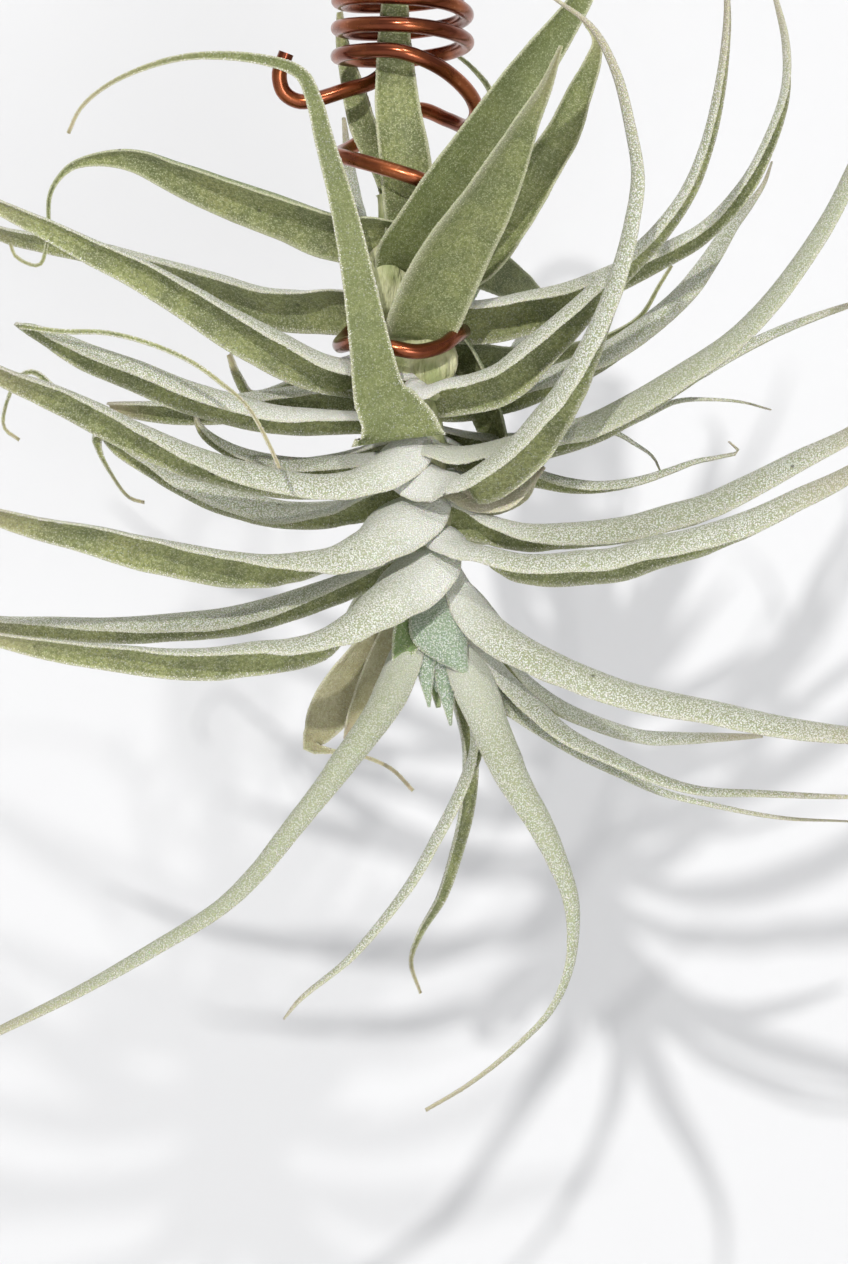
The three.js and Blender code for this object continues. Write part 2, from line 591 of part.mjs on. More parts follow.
    points: [
      [5, 4.5, 1.5, 3.2, 60], [0.5, 6.5, -2, 3.6, 56], [-2.5, 7.5, -6.5, 3.9, 50],
      [-5.5, 9.5, -13, 3.9, 46], [-8.5, 12, -19.5, 3.6, 46], [-10.5, 14, -23.5, 2.5, 46],
      [-11.5, 15, -26, 0.7, 46],
    ],
  },
  {
    name: "leaf_up_left_back",
    hand: -1,
    curl: [50, 55, 50],
    points: [
      [-1, 3, 75.5, 5.3, 50], [-3, 5.5, 84.5, 6.8, 56], [-7, 6.5, 92.5, 7.3, 56],
      [-9, 8.5, 99, 6.5, 56], [-10.5, 11.5, 105, 4.9, 56], [-12, 12.5, 111.5, 3, 56],
      [-12.5, 13, 117, 1.4, 56],
    ],
  },
  {
    name: "leaf_up_thin_back",
    hand: 1,
    curl: [50, 60, 50],
    points: [
      [-0.5, 2, 73, 3.1, 60], [3.5, 8, 77.5, 3, 80], [8.5, 14, 83.5, 3, 90],
      [15, 19, 92.5, 2.4, 90], [18, 19, 100.5, 1.4, 90], [13.5, 18, 107, 0.8, 90],
      [8.5, 17, 110, 0.7, 90], [5, 17, 109.5, 0.7, 90],
    ],
  },
  {
    name: "leaf_left_blunt_back",
    hand: -1,
    curl: [60, 70, 70, 60],
    points: [
      [0.5, 3.5, 39.5, 8.4, 30], [-10.5, 7.5, 40.5, 10.9, 24], [-20.5, 11.5, 40.5, 12.8, 14],
      [-30.5, 15.5, 39.5, 12.5, 16], [-39.5, 18.5, 38.5, 10.8, 24], [-48, 22, 38.5, 8.9, 28],
      [-55, 24.5, 39, 6.3, 30], [-59.5, 26, 39.5, 3.2, 30],
    ],
  },
  {
    name: "leaf_left_pale_back",
    hand: -1,
    curl: [65, 75, 75, 70],
    points: [
      [0.5, 5.5, 28, 10.9, 10], [-9.5, 7.5, 27, 11.8, 8], [-20.5, 10.5, 26.5, 11.3, 6],
      [-30.5, 14.5, 28.5, 9.1, 8], [-36, 17, 31, 6.3, 12], [-40.5, 19.5, 34.5, 3.7, 20],
      [-42, 21, 38, 1.1, 20],
    ],
  },
  {
    name: "leaf_left_thin_curl",
    hand: -1,
    curl: [60, 60, 60],
    points: [
      [2, 3, 32, 7.1, 20], [-3.5, 8, 30.5, 6.9, 20], [-14.5, 14.5, 28, 6.2, 20],
      [-35, 22, 27.5, 5.1, 20], [-57, 29.5, 35, 3.7, 30], [-70, 33.5, 42.5, 2.3, 40],
      [-75.5, 35, 47, 1.3, 60], [-78.5, 36.5, 46.5, 0.9, 60], [-82, 39.5, 40.5, 0.7, 60],
      [-82.5, 41, 36, 0.7, 60], [-79.5, 42, 33.5, 0.7, 60],
    ],
  },
  {
    name: "leaf_left_back_hook",
    hand: -1,
    curl: [60, 60, 60],
    points: [
      [-1, 6, 49.5, 7.1, 20], [-12.5, 14.5, 47, 6.7, 20], [-25, 23, 42.5, 5.2, 30],
      [-30.5, 27.5, 41.5, 3.5, 50], [-33.5, 30, 45.5, 2.4, 60], [-35.5, 32, 50.5, 1.4, 60],
    ],
  },
  {
    name: "leaf_right_dark_back",
    hand: 1,
    curl: [55, 55, 45],
    points: [
      [1, 4, 67.5, 7.4, 60], [8.5, 11, 68, 10.6, 66], [15.5, 20, 67.5, 10.9, 70],
      [22, 30, 65, 8, 70], [28, 42, 62.5, 4.5, 70], [33.5, 52, 64, 2.2, 70],
      [39.5, 60, 67, 0.7, 70],
    ],
  },
  {
    name: "leaf_right_dark_second_back",
    hand: 1,
    curl: [60, 60, 50],
    points: [
      [3, 5, 57.5, 9.2, 30], [8, 7.5, 53.5, 11.3, 34], [12.5, 8.5, 47, 12.1, 38],
      [16.5, 9.5, 39, 11.2, 38], [19, 10.5, 31.5, 8.6, 38], [20.5, 11, 26, 5.1, 38],
      [21.5, 11.5, 21.5, 1.2, 38],
    ],
  },
  {
    name: "leaf_right_short_back",
    hand: 1,
    curl: [55, 60, 60],
    points: [
      [2, 4.5, 51.5, 6.3, 60], [9.5, 11, 49.5, 8.9, 60], [17.5, 18, 48.5, 9, 50],
      [27.5, 26, 49.5, 6.6, 40], [36, 31, 52, 3.8, 40], [42.5, 34, 54.5, 2, 40],
      [48.5, 35, 58.5, 1.2, 50], [52.5, 36, 65, 0.8, 60], [55, 36, 69, 0.7, 60],
    ],
  },
  {
    name: "leaf_right_curled_tip",
    hand: 1,
    curl: [60, 70, 70],
    points: [
      [4, 2, 25, 7, 20], [13, 6, 24, 8.7, 20], [23, 9, 25, 9.1, 14],
      [32.5, 10, 23, 8.2, 8], [38.5, 10.5, 22.5, 6.7, 4], [46, 11.5, 23.5, 5.2, 0],
      [52.5, 11.5, 25.5, 3.7, 0], [58, 11, 27.5, 2.5, 0], [63, 11, 28.5, 1.8, 0],
      [66.5, 10.5, 29.5, 1.3, 0], [64.5, 10, 31.5, 0.7, 0],
    ],
  },
  {
    name: "leaf_right_dry_small",
    hand: 1,
    curl: [60, 60, 50],
    points: [
      [4.5, 3.5, 22.5, 8.1, 20], [10.5, 1.5, 20.5, 15.5, 4], [16, 0, 19, 18, 0],
      [21.5, -1, 20, 16.1, 0], [25, -2, 23.5, 10.5, 0], [27.5, -2, 26, 3.3, 0],
    ],
  },
  {
    name: "leaf_right_thin_upper",
    hand: 1,
    curl: [70, 75, 70],
    points: [
      [3, 5, 34, 6.9, 20], [15.5, 12.5, 32, 7.5, 14], [31.5, 19.5, 33.5, 7.7, 8],
      [48, 26, 40, 7.7, 0], [60.5, 30.5, 46.5, 7.3, 0], [70, 34, 52, 6.5, 0],
      [79.5, 37, 56.5, 5.1, 0], [91.5, 40.5, 61, 3, 0], [104, 45, 64.5, 0.7, 0],
    ],
  },
  {
    name: "leaf_right_thin_middle",
    hand: 1,
    curl: [70, 70, 60],
    points: [
      [3.5, 6.5, 26.5, 6, 20], [19.5, 16.5, 28.5, 6.1, 14], [35.5, 25.5, 32, 5.2, 8],
      [48.5, 31.5, 37.5, 3.8, 0], [56, 34.5, 41, 2.5, 0], [63, 36.5, 41.5, 1.6, 0],
      [69.5, 37, 41, 1.1, 0], [75.5, 38, 39.5, 0.7, 0],
    ],
  },
  {
    name: "leaf_right_thin_drooping",
    hand: 1,
    curl: [70, 70, 60],
    points: [
      [3.5, 4.5, 24, 6, 20], [17.5, 12.5, 26.5, 6.4, 14], [29.5, 18.5, 32, 5.7, 8],
      [37.5, 21, 34.5, 4, 0], [42.5, 23, 34, 2.4, 0], [47, 23.5, 31.5, 1.6, 0],
      [50.5, 24.5, 29, 1.1, 0], [52, 25, 26, 0.7, 0],
    ],
  },
];

const towardsFront = new THREE.Vector3(0, -1, 0);

// A way made square to the leaf's own direction.
function squareTo(direction, way) {
  return way.clone().addScaledVector(direction, -way.dot(direction)).normalize();
}

// The way each section's hollow side faces. face is the way from which the leaf's bend is seen.
// From the middle of the leaf outwards the hollow side turns by no more than twistLimit from one
// section to the next.
function openWays({ hand, points, face = towardsFront }, directions, shares) {
  const turns = points.map((point) => THREE.MathUtils.degToRad(point[4]));
  const ways = shares.map((share, station) => {
    const turn = along(turns, share);
    const direction = directions[station];
    const under = new THREE.Vector3().crossVectors(direction, face).normalize();
    const front = new THREE.Vector3().crossVectors(under, direction);
    return under.multiplyScalar(hand * Math.cos(turn)).addScaledVector(front, Math.sin(turn));
  });
  const limit = THREE.MathUtils.degToRad(twistLimit);
  const follow = (station, neighbour) => {
    const direction = directions[station];
    const kept = squareTo(direction, ways[neighbour]);
    const side = new THREE.Vector3().crossVectors(direction, kept);
    const turn = Math.atan2(ways[station].dot(side), ways[station].dot(kept));
    const eased = THREE.MathUtils.clamp(turn, -limit, limit);
    ways[station] = kept.applyAxisAngle(direction, eased);
  };
  const middle = Math.floor(shares.length / 2);
  for (let station = middle + 1; station < shares.length; station += 1) follow(station, station - 1);
  for (let station = middle - 1; station >= 0; station -= 1) follow(station, station + 1);
  return ways;
}

// A leaf body. grow adds that much all round, for the room that neighbours leave it.
function leafBody(leaf, grow) {
  const middles = leaf.points.map(([x, y, z]) => new THREE.Vector3(x, y, z));
  const widths = leaf.points.map((point) => point[3]);
  const path = new THREE.CatmullRomCurve3(middles, false, "centripetal");
  const shares = [0];
  for (let i = 1; i < middles.length; i += 1) {
    const pieces = Math.max(1, Math.round(middles[i].distanceTo(middles[i - 1]) / stationSpacing));
    for (let piece = 1; piece <= pieces; piece += 1) {
      shares.push((i - 1 + piece / pieces) / (middles.length - 1));
    }
  }
  const directions = shares.map((share) => path.getTangent(share));
  const ways = openWays(leaf, directions, shares);
  const positions = [];
  const faces = [];
  const thickness = leafThickness + 2 * grow;
  shares.forEach((share, station) => {
    const direction = directions[station];
    const middle = path.getPoint(share);
    if (station === 0) middle.addScaledVector(direction, -grow);
    if (station === shares.length - 1) middle.addScaledVector(direction, grow);
    const open = ways[station];
    const across = new THREE.Vector3().crossVectors(direction, open);
    const width = along(widths, share) + 2 * grow;
    const tightest = width / (thickness + rollLimit);
    const half = Math.min(THREE.MathUtils.degToRad(along(leaf.curl, share)), tightest);
    const radius = width / (2 * half);
    const centre = (radius * (1 + Math.cos(half))) / 2;
    for (const side of [1, -1]) {
      const r = radius + (side * thickness) / 2;
      for (let i = 0; i < acrossCount; i += 1) {
        const angle = half * ((2 * i) / (acrossCount - 1) - 1) * side;
        const point = middle
          .clone()
          .addScaledVector(across, r * Math.sin(angle))
          .addScaledVector(open, centre - r * Math.cos(angle));
        positions.push(point.x, point.y, point.z);
      }
    }
  });
  const around = acrossCount * 2;
  const rings = shares.length;
  for (let ring = 0; ring < rings - 1; ring += 1) {
    for (let i = 0; i < around; i += 1) {
      const a = ring * around + i;
      const b = ring * around + ((i + 1) % around);
      // both faces of the blade are split along the same diagonal, so they stay a thickness apart
      if (i < acrossCount) faces.push(a, b, b + around, a, b + around, a + around);
      else faces.push(a, b, a + around, b, b + around, a + around);
    }
  }
  const last = (rings - 1) * around;
  for (let i = 0; i < acrossCount - 1; i += 1) {
    const inner = around - 1 - i;
    faces.push(i, inner, inner - 1, i, inner - 1, i + 1);
    faces.push(last + i, last + inner - 1, last + inner, last + i, last + i + 1, last + inner - 1);
  }
  return closedSolid(positions, faces);
}

// ---- far side ------------------------------------------------------------------------------

// A small repeatable draw between 0 and 1.
function drawMaker(seed) {
  let state = seed;
  return () => {
    state = (state * 1664525 + 1013904223) % 4294967296;
    return state / 4294967296;
  };
}

const farLeafCount = 10;
const farLeafTop = 66; // height of the highest one's base
const farLeafLow = 6;
const farLeafReach = 82;
const farLeafReachLeast = 0.8; // of the reach, and up to farLeafReachMore on top
const farLeafReachMore = 0.3;
const farLeafFan = 22; // degrees either side of straight back
const farLeafFanLeast = 0.45; // of the fan
const farLeafWidth = 9.5;
const farLeafTipWidth = 0.8;
const farLeafSag = 16; // how far the middle of the leaf hangs
const farLeafRise = [34, -26]; // of the tip, from the highest leaf to the lowest
const farLeafRiseMore = 8;
const farLeafStations = [0.047, 0.12, 0.3, 0.5, 0.7, 0.87, 1];
const farLeafCurl = [60, 70, 60];

// Leaves on the far side go on with the same habit: out from the stem, down a little, then up.
function farLeaves() {
  const draw = drawMaker(7);
  const list = [];
  for (let i = 0; i < farLeafCount; i += 1) {
    const share = i / (farLeafCount - 1);
    const height = THREE.MathUtils.lerp(farLeafTop, farLeafLow, share);
    const side = i % 2 === 0 ? 1 : -1;
    const fan = farLeafFanLeast + (1 - farLeafFanLeast) * draw();
    const turn = THREE.MathUtils.degToRad(90 + side * farLeafFan * fan);
    const reach = farLeafReach * (farLeafReachLeast + farLeafReachMore * draw());
    const rise = THREE.MathUtils.lerp(...farLeafRise, share) + farLeafRiseMore * draw();
    // the stem leans, so the bases do too
    const foot = 1.5 + (5.5 * (farLeafTop - height)) / farLeafTop;
    const points = farLeafStations.map((out) => {
      const lift = rise * out ** 2 - farLeafSag * out * (1 - out);
      const width = farLeafWidth * (1 - out ** 1.6) + farLeafTipWidth - (out < 0.08 ? 2 : 0);
      const x = foot + reach * out * Math.cos(turn) * (1 - 0.25 * out);
      return [x, reach * out * Math.sin(turn) * (1 - 0.12 * out), height + lift, width, 0];
    });
    const face = new THREE.Vector3(Math.sin(turn), -Math.cos(turn), 0);
    list.push({ name: `leaf_far_${i + 1}`, hand: 1, face, curl: farLeafCurl, points });
  }
  return list;
}

// ---- growing tip ---------------------------------------------------------------------------

// The young leaves close round the growing point, all of one piece with the bud they rise from.
const youngLeaves = [
  [
    [7.3, -3.4, 3.4, 8, -90],
    [6.8, -5, -1.5, 11.5, -90],
    [7.2, -6.4, -5.2, 12, -88],
    [8.8, -6.8, -9.6, 8.5, -84],
    [11, -6.4, -12.8, 3.6, -82],
    [12.8, -6.2, -14.8, 0.9, -82],
  ],
  [
    [5, -2, -1, 6, -96],
    [4.4, -3.6, -8, 5.4, -94],
    [4.6, -4, -14.4, 3.4, -92],
    [5.2, -3.8, -20.8, 0.9, -90],
  ],
  [
    [7.6, -1.4, -4, 5, -90],
    [8, -2.6, -11, 5.2, -90],
    [8.6, -3.2, -18, 3.4, -90],
    [9.4, -3.2, -24.4, 0.9, -90],
  ],
  [
    [6, 2, -2, 5, 90],
    [5.6, 3, -9, 5, 90],
    [6.4, 3, -16, 2.8, 90],
    [7, 2.4, -21, 0.9, 90],
  ],
];
const youngCurl = [60, 50, 40];

// x, y, height and radius of the bud, from its foot to its point
const bud = [
  [6.8, 0, 2.6, 5.2],
  [7, -0.2, -1.6, 5],
  [7, -0.6, -6, 4.2],
  [7.2, -1, -12, 3],
  [7.2, -1, -18, 0.6],
];

function growingTip(grow) {
  const positions = [];
  for (const [x, y, z, radius] of bud) {
    const reach = radius + grow;
    for (let side = 0; side < budSides; side += 1) {
      const angle = (2 * Math.PI * side) / budSides;
      positions.push(x + reach * Math.cos(angle), y + reach * budDepth * Math.sin(angle), z);
    }
  }
  let solid = closedSolid(positions, tubeFaces(bud.length - 1, budSides));
  for (const points of youngLeaves) {
    solid = solid.add(leafBody({ hand: 1, curl: youngCurl, points }, grow));
  }
  return solid;
}

// ---- assembly ------------------------------------------------------------------------------

// The largest piece that is left of a solid once its neighbours have had their room.
function largestPiece(solid) {
  const pieces = solid.decompose();
  pieces.sort((a, b) => b.volume() - a.volume());
  return pieces[0];
}

function material(colour, roughness, metalness) {
  return new THREE.MeshStandardMaterial({ color: colour, roughness, metalness });
}

const plant = new THREE.Group();
const hung = new THREE.Group();
hung.position.z = -hangHeight;
plant.add(hung);

function place(name, solid, finish) {
  const mesh = new THREE.Mesh(toGeometry(solid), finish);
  mesh.name = name;
  hung.add(mesh);
}

const wireFinish = material(colours.wire, 0.35, 0.6);
const stemFinish = material(colours.stem, 0.85, 0);
const leafFinish = material(colours.leaf, 0.9, 0);
const tipFinish = material(colours.tip, 0.85, 0);

const wireRoute = wirePoints();
place("wire_hanger", toSolid(bar(wireRoute, wireThickness / 2, wireSteps)), wireFinish);
place("stem", stemBody(0), stemFinish);

// The growing tip keeps clear of the wire and the stem, and each leaf of what is already there.
const wireRoom = toSolid(bar(wireRoute, wireThickness / 2 + wireGap, wireSteps));
const rooms = [wireRoom, stemBody(gap)];
place("growing_tip", largestPiece(wasm.Manifold.difference([growingTip(0), ...rooms])), tipFinish);
rooms.push(growingTip(gap));
for (const leaf of [...leaves, ...farLeaves()]) {
  const whole = leafBody(leaf, 0);
  place(leaf.name, largestPiece(wasm.Manifold.difference([whole, ...rooms])), leafFinish);
  rooms.push(leafBody(leaf, gap));
}

export default plant;
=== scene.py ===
import json
import math
import bmesh
import bpy
import numpy as np
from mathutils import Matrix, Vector


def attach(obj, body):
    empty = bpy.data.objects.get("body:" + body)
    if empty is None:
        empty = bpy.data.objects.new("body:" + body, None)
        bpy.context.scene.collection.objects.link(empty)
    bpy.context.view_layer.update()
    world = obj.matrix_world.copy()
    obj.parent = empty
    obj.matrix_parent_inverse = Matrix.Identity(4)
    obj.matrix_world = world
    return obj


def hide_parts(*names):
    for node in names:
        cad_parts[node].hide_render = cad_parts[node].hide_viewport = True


# A silvery air plant held upside down in a hanger bent from one copper-coloured wire.
# Plans are in millimetres above the low end of the stem, as the part is drawn. The frame's
# origin is the inside top of the hanging loop, hangHeight above that.
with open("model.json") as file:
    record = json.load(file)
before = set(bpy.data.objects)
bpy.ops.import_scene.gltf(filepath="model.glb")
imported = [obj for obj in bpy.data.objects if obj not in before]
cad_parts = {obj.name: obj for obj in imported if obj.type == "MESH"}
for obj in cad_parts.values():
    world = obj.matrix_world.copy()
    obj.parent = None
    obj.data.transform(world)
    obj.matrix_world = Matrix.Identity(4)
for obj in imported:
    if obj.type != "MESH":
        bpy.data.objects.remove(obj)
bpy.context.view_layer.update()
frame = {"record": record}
mm = 0.001
hangHeight = 157.0


def linked(name, data):
    item = bpy.data.objects.new(name, data)
    bpy.context.collection.objects.link(item)
    return item


def mixed(a, b, share):
    return a + (b - a) * share


view = {
    "distance": 0.7,  # metres from the camera to the stem
    "lens": 102.2,
    "aim": (4.2, -6.2),  # x and height that stand in the middle of the picture
    "wall": 0.26,  # metres behind the stem
    "floor": -0.62,
    "bend": 0.3,  # radius of the round between wall and floor
    "reach": 3.0,
    "paper": (0.735, 0.74, 0.752, 1),
}
lights = {
    # name: place, size, power, colour
    "sky_panel": ((-0.1, -0.3, 0.7), 0.6, 0.8, (1.0, 0.99, 0.97)),
    "left_lamp": ((-0.32, -1.93, 0.5), 0.05, 23.4, (1.0, 0.985, 0.965)),
    "right_lamp": ((0.34, -1.8, 0.9), 0.06, 10.5, (1.0, 0.985, 0.965)),
    "front_fill": ((0.3, -1.3, -0.42), 0.38, 4.6, (1.0, 1.0, 1.0)),
}
roomLight = {"Color": (0.99, 0.99, 1.0, 1), "Strength": 0.34}


def makeCamera():
    camera = linked("camera", bpy.data.cameras.new("camera"))
    camera.data.lens = view["lens"]
    camera.data.sensor_width = 36
    camera.data.clip_start = 0.05
    x, height = view["aim"]
    camera.location = (x * mm, -view["distance"], (height - hangHeight) * mm)
    camera.rotation_euler = (math.radians(90), 0, 0)
    bpy.context.scene.camera = camera


def makeLights():
    middle = Vector((0, 0, -hangHeight * mm))
    for name, (place, size, power, colour) in lights.items():
        light = linked(name, bpy.data.lights.new(name, "AREA"))
        light.data.shape = "DISK"
        light.data.size = size
        light.data.energy = power
        light.data.color = colour
        light.location = place
        light.rotation_euler = (middle - light.location).to_track_quat("-Z", "Y").to_euler()
    world = bpy.data.worlds.new("room")
    world.use_nodes = True
    for name, value in roomLight.items():
        world.node_tree.nodes["Background"].inputs[name].default_value = value
    bpy.context.scene.world = world
    bpy.context.scene.view_settings.view_transform = "Standard"


class Tree:
    # a short way to write node trees

    def __init__(self, tree):
        self.tree = tree

    def add(self, kind, settings=None, **inputs):
        node = self.tree.nodes.new(kind)
        for name, value in (settings or {}).items():
            setattr(node, name, value)
        self.feedAll(node, {name.replace("_", " "): value for name, value in inputs.items()})
        return node

    def feed(self, socket, value):
        if isinstance(value, bpy.types.NodeSocket):
            self.tree.links.new(value, socket)
        else:
            socket.default_value = value

    def feedAll(self, node, values):
        for name, value in values.items():
            self.feed(node.inputs[name], value)

    def math(self, operation, a, b):
        node = self.add("ShaderNodeMath", {"operation": operation})
        self.feed(node.inputs[0], a)
        self.feed(node.inputs[1], b)
        return node.outputs[0]

    def times(self, a, b):
        return self.math("MULTIPLY", a, b)

    def plus(self, a, b):
        return self.math("ADD", a, b)

    def ramp(self, value, low, high, outLow=0.0, outHigh=1.0):
        node = self.add("ShaderNodeMapRange", {"interpolation_type": "SMOOTHSTEP"}, Value=value)
        self.feedAll(node, {"From Min": low, "From Max": high, "To Min": outLow, "To Max": outHigh})
        return node.outputs["Result"]

    def mix(self, share, a, b):
        node = self.add("ShaderNodeMix", {"data_type": "RGBA"})
        for index, value in ((0, share), (6, a), (7, b)):
            self.feed(node.inputs[index], value)
        return node.outputs[2]

    def attribute(self, name, output="Fac"):
        return self.add("ShaderNodeAttribute", {"attribute_name": name}).outputs[output]

    def noise(self, place, scale, detail):
        # scale: how many clouds to a metre, or to one of the place's own steps
        return self.add("ShaderNodeTexNoise", Vector=place, Scale=scale, Detail=detail).outputs["Fac"]

    def stretched(self, place, scale):
        return self.add("ShaderNodeMapping", Vector=place, Scale=scale).outputs["Vector"]

    def cells(self, place, scale, randomness=1.0, channel=0):
        # the distance to each cell's middle, and the cell's own random number
        node = self.add("ShaderNodeTexVoronoi", Vector=place, Scale=scale, Randomness=randomness)
        draw = self.add("ShaderNodeSeparateColor", Color=node.outputs["Color"]).outputs[channel]
        return node.outputs["Distance"], draw

    def bump(self, height, strength, distance):
        node = self.add("ShaderNodeBump", Strength=strength, Distance=distance, Height=height)
        return node.outputs["Normal"]


def newMaterial(name):
    material = bpy.data.materials.new(name)
    material.use_nodes = True
    tree = Tree(material.node_tree)
    place = tree.add("ShaderNodeTexCoord").outputs["Object"]
    return material, tree, material.node_tree.nodes["Principled BSDF"], place


def paperMaterial():
    # the paper doesn't show from behind, so the plant can be looked at from its back too
    paper, tree, shader, _ = newMaterial("backdrop_paper")
    tree.feedAll(shader, {"Base Color": view["paper"], "Roughness": 0.95, "Specular IOR Level": 0.1})
    both = tree.add("ShaderNodeMixShader")
    side = tree.add("ShaderNodeNewGeometry").outputs["Backfacing"]
    clear = tree.add("ShaderNodeBsdfTransparent").outputs[0]
    for index, value in enumerate((side, shader.outputs[0], clear)):
        tree.feed(both.inputs[index], value)
    tree.feed(paper.node_tree.nodes["Material Output"].inputs["Surface"], both.outputs[0])
    return paper


def makeBackdrop():
    # a pale wall that rounds into a pale floor well below the plant
    wall, floor, bend, reach = (view[name] for name in ("wall", "floor", "bend", "reach"))
    profile = [(-reach, floor)]
    for step in range(13):
        angle = math.radians(90 * step / 12)
        profile.append((wall - bend + bend * math.sin(angle), floor + bend - bend * math.cos(angle)))
    profile.append((wall, reach))
    points = [(x, y, z) for y, z in profile for x in (-reach, reach)]
    faces = [(2 * i, 2 * i + 1, 2 * i + 3, 2 * i + 2) for i in range(len(profile) - 1)]
    mesh = bpy.data.meshes.new("backdrop")
    mesh.from_pydata(points, [], faces)
    mesh.shade_smooth()
    mesh.materials.append(paperMaterial())
    linked("backdrop", mesh)


print("camera, light and backdrop")
makeCamera()
makeLights()
makeBackdrop()


leafLooks = {
    # flesh: the leaf's own green. deep: where it is shaded and thin. skin: what shows between
    # the scales of the outer side. scale: the silver scales. cover: how much of the outer and
    # of the inner side they cloak. browning: how far the tip turns to its own colour.
    "silver_leaf": {
        "flesh": (0.235, 0.262, 0.075, 1),
        "deep": (0.1, 0.122, 0.03, 1),
        "skin": (0.35, 0.375, 0.235, 1),
        "scale": (0.89, 0.895, 0.86, 1),
        "tip": (0.45, 0.37, 0.24, 1),
        "cover": (1.05, 0.25),
        "browning": 0.7,
    },
    "green_leaf": {
        "flesh": (0.2, 0.226, 0.06, 1),
        "deep": (0.085, 0.108, 0.024, 1),
        "skin": (0.14, 0.2, 0.04, 1),
        "scale": (0.5, 0.54, 0.34, 1),
        "tip": (0.40, 0.35, 0.2, 1),
        "cover": (0.5, 0.2),
        "browning": 0.5,
    },
    "dry_leaf": {
        "flesh": (0.46, 0.42, 0.27, 1),
        "deep": (0.32, 0.28, 0.15, 1),
        "skin": (0.5, 0.46, 0.32, 1),
        "scale": (0.74, 0.7, 0.58, 1),
        "tip": (0.44, 0.36, 0.24, 1),
        "cover": (0.6, 0.3),
        "browning": 1.0,
    },
    "young_leaf": {
        "flesh": (0.2, 0.29, 0.11, 1),
        "deep": (0.12, 0.2, 0.06, 1),
        "skin": (0.25, 0.33, 0.22, 1),
        "scale": (0.72, 0.76, 0.7, 1),
        "tip": (0.45, 0.5, 0.3, 1),
        "cover": (0.9, 0.3),
        "browning": 0.3,
    },
}
leafSkin = {
    # what all leaves share
    "scaleCell": 0.33,  # mm, one silver scale
    "dotCell": 0.3,  # mm, one pale dot of the inner side
    "rim": (0.66, 0.655, 0.46, 1),
    "yellowed": (0.42, 0.41, 0.13, 1),
    "dot": (0.58, 0.6, 0.37, 1),
    "deepDot": (0.37, 0.4, 0.22, 1),
    "speck": (0.055, 0.06, 0.03, 1),
    "surface": {
        "Specular IOR Level": 0.35,
        "Subsurface Weight": 0.15,
        "Subsurface Radius": (0.5, 1.0, 0.15),
        "Subsurface Scale": 0.0008,
        "Sheen Roughness": 0.5,
    },
}


def stripes(tree):
    # fine lines that run from base to tip, from the blade's own map
    blade = tree.add("ShaderNodeUVMap", {"uv_map": "blade"}).outputs["UV"]
    return tree.ramp(tree.noise(tree.stretched(blade, (1500.0, 22.0, 1.0)), 1.0, 2.0), 0.5, 0.72)


